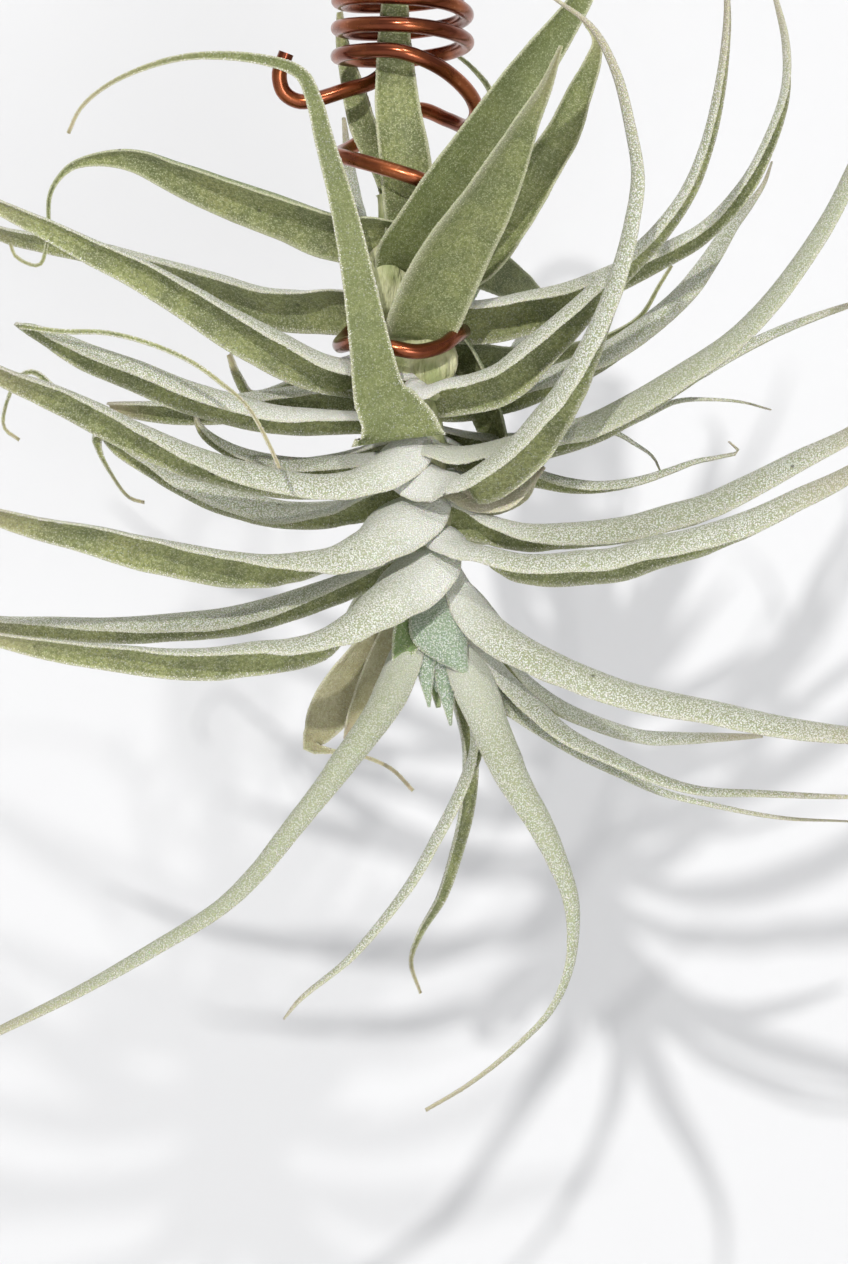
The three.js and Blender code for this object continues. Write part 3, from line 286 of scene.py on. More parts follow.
def leafMaterial(name, look):
    material, tree, shader, place = newMaterial(name)
    skin = leafSkin
    outer, rim, share, flake, toneAndShade = (tree.attribute(n) for n in ("outer", "rim", "share", "flake", "toneAndShade"))
    clouds = tree.noise(place, 160.0, 3.0)
    patches = tree.noise(place, 45.0, 2.0)
    mottle = tree.noise(place, 1500.0, 2.0)
    grain = tree.noise(place, 4200.0, 2.0)
    veins = stripes(tree)
    # a scale shows where its cell's draw is under the cover, and it fades towards its edge
    distance, draw = tree.cells(place, 1 / (skin["scaleCell"] * mm), 0.9)
    cover = tree.ramp(outer, 0, 1, look["cover"][1], look["cover"][0])
    cover = tree.plus(cover, tree.ramp(patches, 0.3, 0.7, -0.12, 0.08))
    present = tree.ramp(tree.math("SUBTRACT", cover, draw), -0.1, 0.3)
    scaled = tree.times(present, tree.ramp(distance, 0.28, 0.66, 1, 0))
    # the inner side: bare green flesh in a fine mosaic
    distance, draw = tree.cells(place, 1 / (skin["dotCell"] * mm))
    dot = tree.times(tree.ramp(distance, 0.2, 0.75, 1, 0), tree.ramp(draw, 0, 0.9))
    inner = tree.mix(tree.ramp(clouds, 0.38, 0.62, 0, 0.95), look["flesh"], look["deep"])
    inner = tree.mix(tree.ramp(patches, 0.5, 0.75, 0, 0.35), inner, skin["yellowed"])
    inner = tree.mix(tree.times(veins, 0.4), inner, look["deep"])
    # the tone pulls the inner side and its dots towards the deep green: partly the leaf's own deeper green,
    # partly painted shade
    inner = tree.mix(tree.times(toneAndShade, 0.65), inner, look["deep"])
    inner = tree.mix(tree.ramp(dot, 0, 1, 0.16, 0.74), inner, tree.mix(toneAndShade, skin["dot"], skin["deepDot"]))
    inner = tree.mix(tree.ramp(mottle, 0.46, 0.62, 0, 0.5), inner, look["deep"])
    inner = tree.mix(tree.times(scaled, 0.3), inner, look["scale"])
    # the outer side: pale scales side by side, whitest towards the base
    cloaked = tree.mix(tree.times(veins, 0.35), look["skin"], look["flesh"])
    cloaked = tree.mix(tree.ramp(share, 0.0, 0.3, 0.75, 0), cloaked, look["scale"])
    cloaked = tree.mix(tree.times(scaled, 0.9), cloaked, look["scale"])
    # the tone also thins the silver on the outer side: partly the leaf's own colour, partly painted shade
    cloaked = tree.mix(tree.times(toneAndShade, 0.5), cloaked, look["skin"])
    # tips, margins and the standing scales
    browning = tree.ramp(share, 0.72, 1.0, 0, look["browning"])
    coloured = tree.mix(browning, tree.mix(outer, inner, cloaked), look["tip"])
    coloured = tree.mix(tree.times(rim, 0.5), coloured, skin["rim"])
    flakeColour = tree.mix(tree.ramp(grain, 0.3, 0.7), look["scale"], skin["rim"])
    flakeColour = tree.mix(tree.times(browning, 0.7), flakeColour, look["tip"])
    coloured = tree.mix(flake, coloured, flakeColour)
    distance, draw = tree.cells(place, 170.0, channel=1)
    spot = tree.times(tree.ramp(distance, 0.04, 0.1, 1, 0), tree.ramp(draw, 0.72, 0.76))
    coloured = tree.mix(tree.times(spot, 0.75), coloured, skin["speck"])
    height = tree.plus(tree.times(scaled, 1.2), tree.times(grain, 0.4))
    height = tree.plus(height, tree.times(tree.plus(dot, mottle), 0.7))
    height = tree.plus(height, tree.times(veins, -0.4))
    tree.feedAll(shader, skin["surface"])
    tree.feedAll(shader, {
        "Base Color": coloured,
        "Normal": tree.bump(height, 0.85, 0.00014),
        "Roughness": tree.ramp(scaled, 0, 1, 0.55, 0.72),
        "Sheen Weight": tree.ramp(outer, 0, 1, 0.05, 0.15),
    })
    return material


wireLook = {
    "dark": (0.17, 0.036, 0.011, 1),
    "bright": (0.36, 0.1, 0.03, 1),
    "streak": (0.1, 0.03, 0.015, 1),
    "bare": (0.6, 0.24, 0.1, 1),
    "surface": {"Metallic": 0.9, "Coat Weight": 0.35, "Coat Roughness": 0.18},
}


def wireMaterial():
    material, tree, shader, place = newMaterial("copper_wire")
    # the wire's own section and length, so that the drawn streaks follow every bend
    around = tree.add("ShaderNodeSeparateXYZ", Vector=tree.attribute("wire_round", "Vector")).outputs
    length = tree.times(tree.attribute("wire_length"), 0.03)
    route = tree.add("ShaderNodeCombineXYZ", X=around[0], Y=around[1], Z=length).outputs[0]
    lines = tree.noise(route, 2600.0, 3.0)
    blotch = tree.noise(place, 120.0, 4.0)
    fine = tree.noise(place, 1500.0, 3.0)
    scuff, _ = tree.cells(place, 420.0)
    colour = tree.mix(tree.ramp(blotch, 0.35, 0.68), wireLook["dark"], wireLook["bright"])
    colour = tree.mix(tree.times(tree.ramp(lines, 0.5, 0.75), 0.4), colour, wireLook["streak"])
    bare = tree.times(tree.ramp(fine, 0.58, 0.7), tree.ramp(blotch, 0.5, 0.62))
    colour = tree.mix(tree.times(bare, 0.5), colour, wireLook["bare"])
    height = tree.plus(lines, tree.times(tree.ramp(scuff, 0, 0.2), 0.5))
    tree.feedAll(shader, wireLook["surface"])
    tree.feedAll(shader, {
        "Base Color": colour,
        "Normal": tree.bump(height, 0.25, 0.00005),
        "Roughness": tree.plus(tree.ramp(blotch, 0.3, 0.7, 0.16, 0.3), tree.times(lines, 0.08)),
    })
    return material


stemLook = {
    "pale": (0.56, 0.56, 0.34, 1),
    "green": (0.34, 0.38, 0.17, 1),
    "fibre": (0.27, 0.29, 0.11, 1),
    "edge": (0.62, 0.58, 0.42, 1),
    "surface": {
        "Roughness": 0.75,
        "Subsurface Weight": 0.15,
        "Subsurface Radius": (1.0, 0.8, 0.4),
        "Subsurface Scale": 0.001,
    },
}


def stemMaterial():
    material, tree, shader, place = newMaterial("stem_skin")
    clouds = tree.noise(place, 220.0, 5.0)
    fibres = tree.noise(tree.stretched(place, (1000.0, 1000.0, 300.0)), 1.0, 3.0)
    colour = tree.mix(tree.ramp(clouds, 0.35, 0.65), stemLook["pale"], stemLook["green"])
    colour = tree.mix(tree.times(tree.ramp(fibres, 0.45, 0.7), 0.6), colour, stemLook["fibre"])
    colour = tree.mix(tree.times(tree.attribute("rim"), 0.7), colour, stemLook["edge"])
    tree.feedAll(shader, stemLook["surface"])
    height = tree.plus(fibres, clouds)
    tree.feedAll(shader, {"Base Color": colour, "Normal": tree.bump(height, 1.0, 0.0012)})
    return material


print("materials")
materials = {name: leafMaterial(name, look) for name, look in leafLooks.items()}
materials["copper_wire"] = wireMaterial()
materials["stem_skin"] = stemMaterial()


def leaf(hand, curl, *points, **more):
    # Each leaf is a channel. points: the middle of the leaf from its base to its tip, x, y,
    # height, the flat width of the blade there and the turn of its hollow side, in degrees: 0
    # faces the leaf's underside, 90 the front and -90 the back. hand: 1 where the underside is to
    # the right of a leaf that climbs, -1 where it is to the left. curl: how far each half of the
    # blade is rolled, in degrees, spread from base to tip.
    return {"hand": hand, "curl": curl, "points": points, **more}


leafPlans = {
    "leaf_up_right_front": leaf(1, (40, 34, 36, 45, 50), (-0.5, -4, 63.5, 10.2, 84),
        (0.5, -8, 66.5, 11.7, 82), (4, -12, 70.7, 12.2, 80), (8.3, -16.5, 77, 11.8, 78),
        (13.3, -19.5, 84, 11, 76), (18.3, -21, 91, 10.2, 76), (22.6, -22, 97.6, 8.8, 74),
        (27.9, -23.5, 104.7, 7.3, 70), (33, -24.5, 112, 5.1, 66), (38.5, -26.5, 122.5, 3.6, 60),
        (43, -29, 133.5, 2, 60), (45.5, -32, 144, 0.7, 60)),
    "leaf_up_in_coil": leaf(1, (50, 34, 30), (1, -3.5, 68.5, 9.6, 90), (1.5, -4.5, 74.5, 11.1, 90),
        (0.5, -5.5, 85, 10.8, 90), (-1, -5.5, 96.5, 9, 90), (-1.5, -5, 106.5, 6.9, 90),
        (-1.5, -4.5, 116, 5.3, 90), (-1.5, -4.5, 124, 3.5, 90), (-1.5, -4.5, 132.5, 1.1, 90)),
    "leaf_up_right_second": leaf(1, (40, 30, 36, 45, 50), (2, -5.5, 50, 12.9, 66), (3.5, -9, 53, 15.4, 66),
        (6.1, -13, 58.7, 15.8, 64), (10.2, -19, 66.4, 14.7, 62), (15, -25, 73.5, 12.2, 62),
        (19.6, -31.5, 81.5, 8.8, 62), (22.9, -37.5, 87.8, 5.5, 62), (26.3, -43, 93.6, 2.9, 62),
        (29, -50, 100, 0.7, 62), rims=(5, 0.8)),
    "leaf_left_over_stem": leaf(-1, (22, 14, 20, 35, 50), (-0.6, -11.4, 30.6, 18.6, 90),
        (-0.9, -11.8, 32.8, 15.2, 90), (-2.4, -12.8, 36, 12.6, 90), (-4, -13, 38.5, 10.3, 90),
        (-6, -15.5, 48, 7.8, 90), (-8.5, -16.5, 62, 5.9, 90), (-11.5, -16, 76, 4.7, 90),
        (-14.5, -15, 86.5, 3.7, 90), (-17, -13, 96, 3, 90), (-19.5, -11, 101, 2.5, 90),
        (-28, -7, 104.5, 2, 90), (-43, -2, 105.5, 1.3, 90), (-56.5, 2, 101.5, 0.9, 90),
        (-63, 3, 96.5, 0.7, 90), (-65.5, 3, 91.5, 0.7, 90)),
    "leaf_left_top": leaf(-1, (50, 55, 60, 60, 60), (0, -3, 69.5, 9.7, 60), (-4.5, -4, 70, 12.9, 50),
        (-14, -4.5, 71.5, 15.4, 34), (-23, -4.5, 75, 15.8, 28), (-34, -3.5, 79, 14.6, 28),
        (-43, -2, 82.5, 11.4, 32), (-52, 0, 86, 6.9, 40), (-59, 2, 86.5, 3.4, 50), (-65.5, 5, 85, 1.5, 60),
        (-69.5, 8, 80.5, 0.9, 60), (-70.5, 12.5, 72.5, 0.7, 60), (-72.5, 15.5, 67, 0.7, 60),
        (-77.5, 17.5, 69, 0.7, 60), (-78.5, 18, 71.5, 0.7, 60)),
    "leaf_right_second_front": leaf(1, (75, 75, 75, 75, 70), (1.5, -5, 41, 13.7, -30),
        (5, -7, 39, 15.2, 10), (10, -8.5, 40, 14.9, 26), (15.5, -10.5, 41, 15.4, 28),
        (20, -11.5, 43, 16.2, 27), (24.5, -12.5, 47, 15.7, 23), (29, -13.5, 51, 14.2, 20),
        (35.5, -15.5, 57, 12, 16), (44, -17.5, 65, 10, 14), (49, -19.5, 70, 8.3, 14),
        (54, -22, 77, 7.1, 14), (57.5, -25, 86, 6.1, 14), (59.5, -28.5, 95.5, 5.1, 14),
        (60.5, -31, 104, 3.9, 10), (60.5, -34, 111, 2.6, 10), (59, -37, 119, 1, 10)),
    "leaf_left_fourth_front": leaf(-1, (80, 80, 78, 75, 70, 60), (5, -5, 31, 13.4, -58),
        (2, -7, 29, 13.8, -56), (-3.5, -9.5, 25.5, 13.6, -38), (-9.5, -11, 22.5, 13.8, -14),
        (-16.5, -12.5, 21.5, 15.1, -2), (-25, -14.5, 22.5, 16.4, 3), (-33.5, -17, 24.5, 16.6, 6),
        (-41, -20, 27, 15.3, 14), (-50, -23.5, 31, 13, 23), (-58, -28, 35, 10.7, 31),
        (-66, -32.5, 38.5, 8.2, 37), (-74, -37.5, 41.5, 5.4, 42), (-80.5, -43, 45.5, 2.8, 44),
        (-88, -50, 50, 0.7, 44)),
    "leaf_right_loop_front": leaf(1, (80, 80, 80, 78, 75, 70), (-3, -6.6, 25, 11.8, -58),
        (2.5, -9, 23.6, 12.4, -55), (8, -11, 22.5, 13.5, -30), (12.5, -13.5, 21.5, 15.3, 12),
        (17.5, -16, 24, 16.8, 23), (23, -18.5, 28.5, 17.2, 24), (27, -21, 33.5, 16.5, 20),
        (31, -23.5, 39, 14.8, 14), (34.5, -26, 45.5, 12.9, 8), (37.5, -28, 52, 11, 2),
        (40.5, -31.5, 60.5, 9, -4), (42.5, -35, 69, 7.1, -8), (43.5, -38.5, 78, 5.5, -10),
        (42, -42, 86, 4.3, -10), (39, -46.5, 96, 3.3, -10), (34.5, -49.5, 103.5, 2.1, -10),
        (27, -53, 108.5, 0.9, -10)),
    "leaf_left_sixth_front": leaf(-1, (82, 82, 78, 72, 65, 55), (7, -5, 20, 16.5, -58),
        (4, -7.5, 17.5, 16.7, -58), (-1.5, -10.5, 14.5, 16.4, -50), (-7, -13, 10.5, 16.1, -28),
        (-13, -15, 7.5, 15.9, -8), (-19.5, -17, 6.5, 15.1, 8), (-25, -19, 6, 14.1, 20),
        (-33, -22, 6.5, 13.6, 31), (-41.5, -25.5, 8, 12.6, 34), (-49.5, -29.5, 9.5, 10.7, 44),
        (-57.5, -33.5, 11.5, 8.5, 48), (-65.5, -38, 13, 6.5, 50), (-73.5, -43.5, 15, 4.7, 50),
        (-82.5, -50.5, 17.5, 2.8, 50), (-92.5, -61, 23.5, 0.7, 50)),
    "leaf_right_fifth_front": leaf(1, (80, 80, 85, 85, 78, 70), (4, -5, 15, 10.1, -58),
        (7.5, -8, 12.5, 10.7, -50), (11.5, -10.5, 10, 11.3, -20), (17, -13, 8, 12.5, 2),
        (21.5, -14.5, 6.5, 13.9, 9), (27.5, -15.5, 6, 15.5, 13), (34, -17.5, 6.5, 16.5, 13),
        (40.5, -19.5, 7, 16.3, 13), (47, -21.5, 9, 15.7, 12), (54, -25, 10.5, 15.1, 8),
        (60.5, -27.5, 12.5, 14.6, 3), (67, -31, 15, 13.9, 0), (74, -34.5, 18.5, 12.6, 0),
        (82, -40, 22.5, 9.9, 0), (91.5, -47.5, 29, 5.8, 0), (99.5, -56, 36.5, 1.1, 0)),
    "leaf_left_eighth_front": leaf(-1, (82, 82, 78, 72, 65, 55), (8.5, -5, 10.5, 16.5, -58),
        (6, -8, 7.5, 17.1, -58), (1, -10.5, 3.5, 17, -50), (-4, -13, -0.5, 16.6, -32),
        (-9.5, -15, -5, 16, -12), (-15.5, -16.5, -8.5, 15.5, 9), (-21.5, -18.5, -10, 15.3, 15),
        (-28, -19.5, -10.5, 14.2, 24), (-35.5, -21.5, -11.5, 12.4, 30), (-43.5, -23.5, -11.5, 10.9, 34),
        (-54, -26.5, -10.5, 8.7, 40), (-66.5, -31, -9, 6.1, 46), (-74.5, -33.5, -7.5, 3.9, 46),
        (-85, -37.5, -5.5, 2.2, 46), (-93, -41, -2.5, 0.7, 46)),
    "leaf_right_low": leaf(1, (80, 75, 72, 70, 60), (9.5, -2.5, 7, 7.7, -60), (11.5, -4.5, 1.5, 8.4, -60),
        (15, -7.5, -3.5, 10.1, -50), (20, -10, -7.5, 12.2, -36), (27, -12.5, -11.5, 14, -20),
        (34.5, -14.5, -15, 15.3, -10), (42.5, -16.5, -18, 15.6, -6), (51, -19, -20, 15.3, -4),
        (59, -22, -21.5, 14.5, -2), (71, -27, -24, 13.3, -2), (83, -32.5, -25.5, 11.1, 0),
        (93, -38, -26, 6.9, 0), (106.5, -45, -25, 1.2, 0)),
    "leaf_down_right": leaf(1, (72, 65, 60, 60, 60), (10, -1, -2.5, 5.1, -76), (11.5, -3, -9.5, 7.7, -80),
        (14.5, -7, -17.5, 9.4, -76), (18, -10.5, -26, 9.4, -70), (21.5, -15, -34, 8.3, -64),
        (26, -17, -41.5, 6.8, -60), (29.5, -19, -49, 5.3, -60), (32, -21, -56, 4, -60),
        (32.5, -22.5, -63, 2.9, -60), (31.5, -24, -70, 2.1, -60), (28, -25, -77.5, 1.5, -60),
        (21, -26.5, -84.5, 1.2, -60), (12.5, -28, -91, 0.9, -60), (4.5, -30, -95.5, 0.7, -60)),
    "leaf_down_left": leaf(-1, (75, 65, 60, 60), (3, -1.5, -1.5, 7, -50), (1.5, -2.5, -7.5, 7.7, -56),
        (-0.5, -5, -13, 8.1, -64), (-3, -8.5, -19, 8, -70), (-6.5, -12, -24.5, 7.3, -72),
        (-11, -14.5, -30.5, 6.4, -70), (-16, -16, -37, 5.7, -62), (-22, -17.5, -44.5, 5.2, -56),
        (-28, -20, -52, 4.9, -50), (-34.5, -23, -58, 4.7, -40), (-47.5, -26.5, -66, 4.5, -30),
        (-61, -30.5, -73.5, 4.1, -20), (-74.5, -34.5, -80, 3.2, -20), (-85, -37.5, -85, 2, -20),
        (-94, -39, -88.5, 0.7, -20)),
    "leaf_left_third": leaf(-1, (65, 75, 75, 70, 60), (0.5, 1.5, 43.5, 18, 10), (-8, -2, 43.5, 17.3, 14),
        (-16.5, -5.5, 45, 17.4, 19), (-25, -8, 49, 16.6, 27), (-33.5, -9.5, 53.5, 14.3, 33),
        (-42, -11.5, 58.5, 11.8, 37), (-50.5, -13.5, 63, 9.7, 42), (-59.5, -15, 67, 7.5, 46),
        (-68, -16.5, 71, 5.7, 50), (-76, -18, 74.5, 4.1, 50), (-84.5, -19, 78.5, 2.4, 50),
        (-92.5, -20, 83, 0.7, 50)),
    "leaf_left_folded_tip": leaf(-1, (65, 80, 80, 80, 70), (0.5, 1.5, 35, 8.9, 20), (-9.5, -1, 35, 10, 16),
        (-16.5, -3.5, 35, 12.3, 15), (-25.5, -6, 35.5, 14.8, 10), (-34, -7.5, 37.5, 15.4, 12),
        (-42.5, -9.5, 40, 14.9, 15), (-51, -11.5, 43.5, 14.1, 16), (-59.5, -14, 46.5, 12.6, 16),
        (-66, -16, 49.5, 8.9, 16), (-70.5, -17, 51.5, 4.1, 24), (-73, -19.5, 52, 1.3, 60),
        (-70.5, -21, 51.5, 0.8, 60), (-64.5, -23, 50.5, 1.1, 60), (-55.5, -25.5, 50, 1.1, 60),
        (-46.5, -28.5, 47.5, 1, 60), (-39, -31, 44, 1, 60), (-33.5, -33.5, 40, 0.9, 60),
        (-28.5, -35, 35.5, 0.8, 60), (-24.5, -36, 28.5, 0.7, 60), (-22.5, -37, 24, 0.7, 60), steady=0.15),
    "leaf_right_fourth": leaf(1, (70, 78, 75, 75, 70, 60), (6.5, -1, 18.5, 9.2, 40), (12, -2.5, 16, 11, 34),
        (17.5, -3.5, 14, 12.7, 18), (24, -3.5, 12.5, 14.2, 10), (31, -3.5, 12.5, 15.4, 2),
        (38.5, -3, 13, 16.3, 0), (45, -2, 14, 16.7, 0), (52, -1, 16, 17.1, 0), (59, 0.5, 18, 16.9, 0),
        (68.5, 2, 22.5, 15.5, 0), (78, 4.5, 27.5, 13.5, 0), (88, 8, 32.5, 10.6, 0),
        (98.5, 12.5, 40, 6.3, 0), (111.5, 19, 51, 1.5, 0)),
    "leaf_right_first": leaf(1, (65, 75, 75, 70, 60), (2, 2.5, 56, 12, 36), (8.5, 2, 55.5, 14.6, 33),
        (16, 1.5, 55.5, 16.4, 30), (23.5, 1, 57, 16.5, 28), (32.5, 1.5, 59.5, 14.9, 22),
        (42.5, 2.5, 64, 12.9, 16), (51, 4.5, 68, 10.9, 14), (59.5, 6.5, 73, 8.7, 16),
        (68, 10.5, 82.5, 7.2, 24), (73, 13.5, 92, 6.3, 20), (76.5, 17.5, 102, 5.3, 10),
        (77, 22, 112, 3.9, 0), (75.5, 26.5, 121.5, 2.3, 0), (74, 30, 128.5, 0.7, 0)),
    "leaf_up_right_back": leaf(1, (50, 50, 56, 56, 56), (2.5, 3, 60.5, 8.2, 120), (8.5, 5, 62.5, 9.7, 110),
        (15, 6, 67, 10.5, 104), (21, 7, 75, 10.2, 100), (26.5, 9.5, 84, 9.3, 98), (31.5, 12.5, 92, 8, 98),
        (35, 16, 100.5, 6.1, 98), (38, 19.5, 108, 3.8, 98), (39, 22, 113, 1.9, 98),
        (36.5, 24, 117, 0.7, 98)),
    "leaf_left_second_back": leaf(-1, (50, 60, 60, 60, 60), (0, 2.5, 57, 10.5, 50),
        (-11.5, 4.5, 57.5, 13.4, 42), (-19, 7.5, 58, 15.7, 30), (-27, 10.5, 59, 16, 26),
        (-35.5, 14, 62, 14.9, 24), (-44.5, 18, 65, 13.3, 24), (-53, 22.5, 68, 11.1, 24),
        (-63.5, 28.5, 71.5, 8.7, 26), (-74.5, 35.5, 74, 6.7, 30), (-83.5, 42.5, 76.5, 4.8, 34),
        (-93.5, 50, 81.5, 2.8, 34), (-102, 57, 87, 0.9, 34)),
    "leaf_right_third": leaf(1, (72, 78, 75, 75, 70, 60), (2.5, -5, 31.5, 9.2, -60), (7.5, -6, 29, 14, -16),
        (14, -4, 28, 16.3, 8), (23, 0, 29.5, 17.2, 10), (29, 2, 31.5, 17.7, 6), (36.5, 2.5, 33.5, 17.6, 3),
        (45.5, 0.5, 38, 17.1, 1), (54.5, -1, 43.5, 15.8, 0), (64, -1.5, 50, 13.9, 0),
        (71, -2.5, 57, 12.3, 0), (77.5, -2.5, 65.5, 11.2, 0), (83.5, -3, 75, 10.1, 0),
        (88, -3, 84.5, 8.5, 0), (93, -2.5, 96, 6.4, 0), (96.5, -3, 107, 3.9, 0), (98, -2, 116.5, 1.4, 0)),
    "leaf_right_back_long": leaf(1, (70, 75, 75, 75, 70), (2.5, 3.5, 39, 9.1, 24), (11, 7, 38.5, 11.4, 20),
        (22, 11.5, 41, 14.1, 12), (31, 14, 44.5, 15.7, 6), (39.5, 17.5, 48.5, 15.7, 0),
        (47.5, 21, 54, 14.3, -4), (56, 26.5, 61.5, 12.4, -6), (61.5, 31, 68.5, 10.3, -6),
        (66.5, 36, 76, 7.2, -6), (71, 40, 81.5, 3.9, -6), (74.5, 43, 86.5, 1.8, -6),
        (76.5, 46, 91.5, 0.7, -6)),
    "leaf_left_seventh_back": leaf(-1, (70, 78, 78, 72, 60), (4, 2, 10, 9.9, 30),
        (-3.5, 0.5, 6.5, 11.1, 24), (-11.5, 0, 3, 12.2, 18), (-17, 0.5, 1, 13.7, 14),
        (-26, 1.5, -2, 15.7, 9), (-34.5, 3, -4, 16.2, 8), (-46, 5.5, -5, 14.7, 10),
        (-57.5, 10, -5.5, 12.5, 16), (-71.5, 16, -5, 10.1, 23), (-81, 20, -4.5, 7.4, 27),
        (-94, 28, -2, 4.3, 30), (-106.5, 36, 1, 0.9, 30)),
    "leaf_left_fifth_back": leaf(-1, (65, 75, 75, 70, 60), (1.5, 4, 22.5, 5.6, 50),
        (-5.5, 4.5, 19.5, 8.6, 38), (-13.5, 5.5, 17.5, 13.3, 12), (-23, 8, 17, 17, 2),
        (-32, 10.5, 19, 17.6, 3), (-41.5, 14.5, 22.5, 15.5, 6), (-50.5, 19.5, 27.5, 11.3, 14),
        (-58, 24.5, 31.5, 6.5, 24), (-62, 28, 33.5, 2.8, 40), (-62, 30, 31, 1.2, 60),
        (-60, 33.5, 26.5, 0.7, 60), (-56.5, 37.5, 21.5, 0.7, 60), (-53.5, 40, 20.5, 0.7, 60)),
    "leaf_right_low_pair_upper": leaf(1, (60, 75, 70), (9, 2, -2.5, 8.7, 10), (15, 2, -9.5, 12.5, 8),
        (20, 1.5, -16, 14.5, 4), (26, 0.5, -21.5, 13.5, 0), (32, -1, -26.5, 10.8, 0),
        (41, -2.5, -31, 8.4, 0), (50, -3.5, -35, 6.4, 0), (57.5, -5, -37, 4.9, 0),
        (69.5, -6.5, -37.5, 3.4, 0), (86, -8.5, -38, 1.9, 0), (94, -10, -37.5, 0.7, 0)),
    "leaf_right_low_pair_lower": leaf(1, (60, 75, 70), (9, 2.5, -4.5, 7.4, 10), (14.5, 5.5, -13, 9.7, 8),
        (19, 7.5, -19.5, 10.2, 4), (26.5, 9.5, -25, 8.7, 0), (35.5, 11, -30.5, 6.7, 0),
        (43.5, 12.5, -34.5, 5, 0), (51, 14.5, -38, 3.7, 0), (60.5, 15.5, -40.5, 2.6, 0),
        (75.5, 20, -43.5, 1.6, 0), (90, 25, -44.5, 0.7, 0)),
    "leaf_right_low_back": leaf(1, (60, 75, 70), (9, 4, 0, 5.9, 30), (17.5, 11, -9, 8.7, 20),
        (24.5, 16.5, -16.5, 10.3, 10), (31.5, 20.5, -21.5, 10.1, 4), (39.5, 25.5, -25, 9.4, 0),
        (48, 30.5, -27.5, 8.6, 0), (56.5, 36, -28, 7.3, 0), (64.5, 41.5, -28, 5, 0),
        (74.5, 50, -28, 1.6, 0)),
    "leaf_down_thin": leaf(-1, (60, 60, 60), (8.5, 3.5, -2.5, 7.1, 20), (12, 5, -15.5, 7, 20),
        (14.5, 4.5, -27.5, 7.2, 10), (12, 2, -36, 7.7, 0), (7.5, -0.5, -45, 7.5, 0), (1, -4.5, -56, 6, 0),
        (-10, -10, -69, 4, 0), (-19.5, -14.5, -76.5, 2.2, 0), (-22.5, -16, -80, 0.7, 0)),
    "leaf_down_olive": leaf(-1, (50, 60, 60), (7, 5, -1.5, 5.1, 30), (10.5, 10.5, -18, 6.4, 30),
        (13, 13.5, -28.5, 6.4, 30), (12.5, 16, -41, 5.5, 34), (10.5, 17.5, -50, 4.5, 36),
        (7.5, 19.5, -59.5, 3.3, 40), (3.5, 21.5, -66.5, 2.1, 40), (1.5, 22, -72.5, 1.2, 40),
        (3.5, 23, -79, 0.7, 40)),
    "leaf_down_brown": leaf(-1, (48, 42, 40), (5.5, 1.5, 1, 3.1, 60), (1, 5, -3.5, 5.4, 64),
        (-4, 8.5, -7.5, 8.4, 70), (-9, 13, -14, 10.4, 76), (-14, 17, -21, 10.2, 80),
        (-17, 18.5, -26, 7.2, 80), (-18.6, 18.5, -28.8, 2.6, 80), (-15, 18.5, -30, 0.9, 80),
        (-10, 18.5, -30.5, 0.7, 80), (-2.5, 18.5, -33.5, 0.7, 80), (2, 19, -38, 0.7, 80)),
    "leaf_down_beige": leaf(-1, (55, 50, 45), (5, 4.5, 1.5, 3.2, 60), (0.5, 6, -2, 4.6, 62),
        (-2.5, 7, -6.5, 5.8, 62), (-5.3, 9, -13, 6.2, 62), (-8, 11.4, -19.5, 5.6, 62),
        (-10, 13.4, -24, 3.6, 62), (-11.5, 15, -27.5, 0.7, 62)),
    "leaf_up_left_back": leaf(-1, (50, 55, 50), (-1, 3, 75.5, 5.3, 50), (-3, 5.5, 84.5, 6.8, 56),
        (-7, 6.5, 92.5, 7.3, 56), (-9, 8.5, 99, 6.5, 56), (-10.5, 11.5, 105, 4.9, 56),
        (-12, 12.5, 111.5, 3, 56), (-12.5, 13, 117, 1.4, 56)),
    "leaf_up_thin_back": leaf(1, (50, 60, 50), (-0.5, 2, 73, 3.1, 60), (3.5, 8, 77.5, 3, 80),
        (8.5, 14, 83.5, 3, 90), (15, 19, 92.5, 2.4, 90), (18, 19, 100.5, 1.4, 90), (13.5, 18, 107, 0.8, 90),
        (8.5, 17, 110, 0.7, 90), (5, 17, 109.5, 0.7, 90)),
    "leaf_left_blunt_back": leaf(-1, (60, 70, 70, 60), (0.5, 3.5, 39.5, 8.4, 30),
        (-10.5, 7.5, 40.5, 10.9, 24), (-20.5, 11.5, 40.5, 12.8, 14), (-30.5, 15.5, 39.5, 12.5, 16),
        (-39.5, 18.5, 38.5, 10.8, 24), (-48, 22, 38.5, 8.9, 28), (-55, 24.5, 39, 6.3, 30),
        (-59.5, 26, 39.5, 3.2, 30)),
    "leaf_left_pale_back": leaf(-1, (65, 75, 75, 70), (0.5, 5.5, 28, 10.9, 10), (-9.5, 7.5, 27, 11.8, 8),
        (-20.5, 10.5, 26.5, 11.3, 6), (-30.5, 14.5, 28.5, 9.1, 8), (-36, 17, 31, 6.3, 12),
        (-40.5, 19.5, 34.5, 3.7, 20), (-42, 21, 38, 1.1, 20)),
    "leaf_left_thin_curl": leaf(-1, (60, 60, 60), (2, 3, 32, 7.1, 20), (-3.5, 8, 30.5, 6.9, 20),
        (-14.5, 14.5, 28, 6.2, 20), (-35, 22, 27.5, 5.1, 20), (-57, 29.5, 35, 3.7, 30),
        (-70, 33.5, 42.5, 2.3, 40), (-75.5, 35, 47, 1.3, 60), (-78.5, 36.5, 46.5, 0.9, 60),
        (-82, 39.5, 40.5, 0.7, 60), (-82.5, 41, 36, 0.7, 60), (-79.5, 42, 33.5, 0.7, 60)),
    "leaf_left_back_hook": leaf(-1, (60, 60, 60), (-1, 6, 49.5, 7.1, 20), (-12.5, 14.5, 47, 6.7, 20),
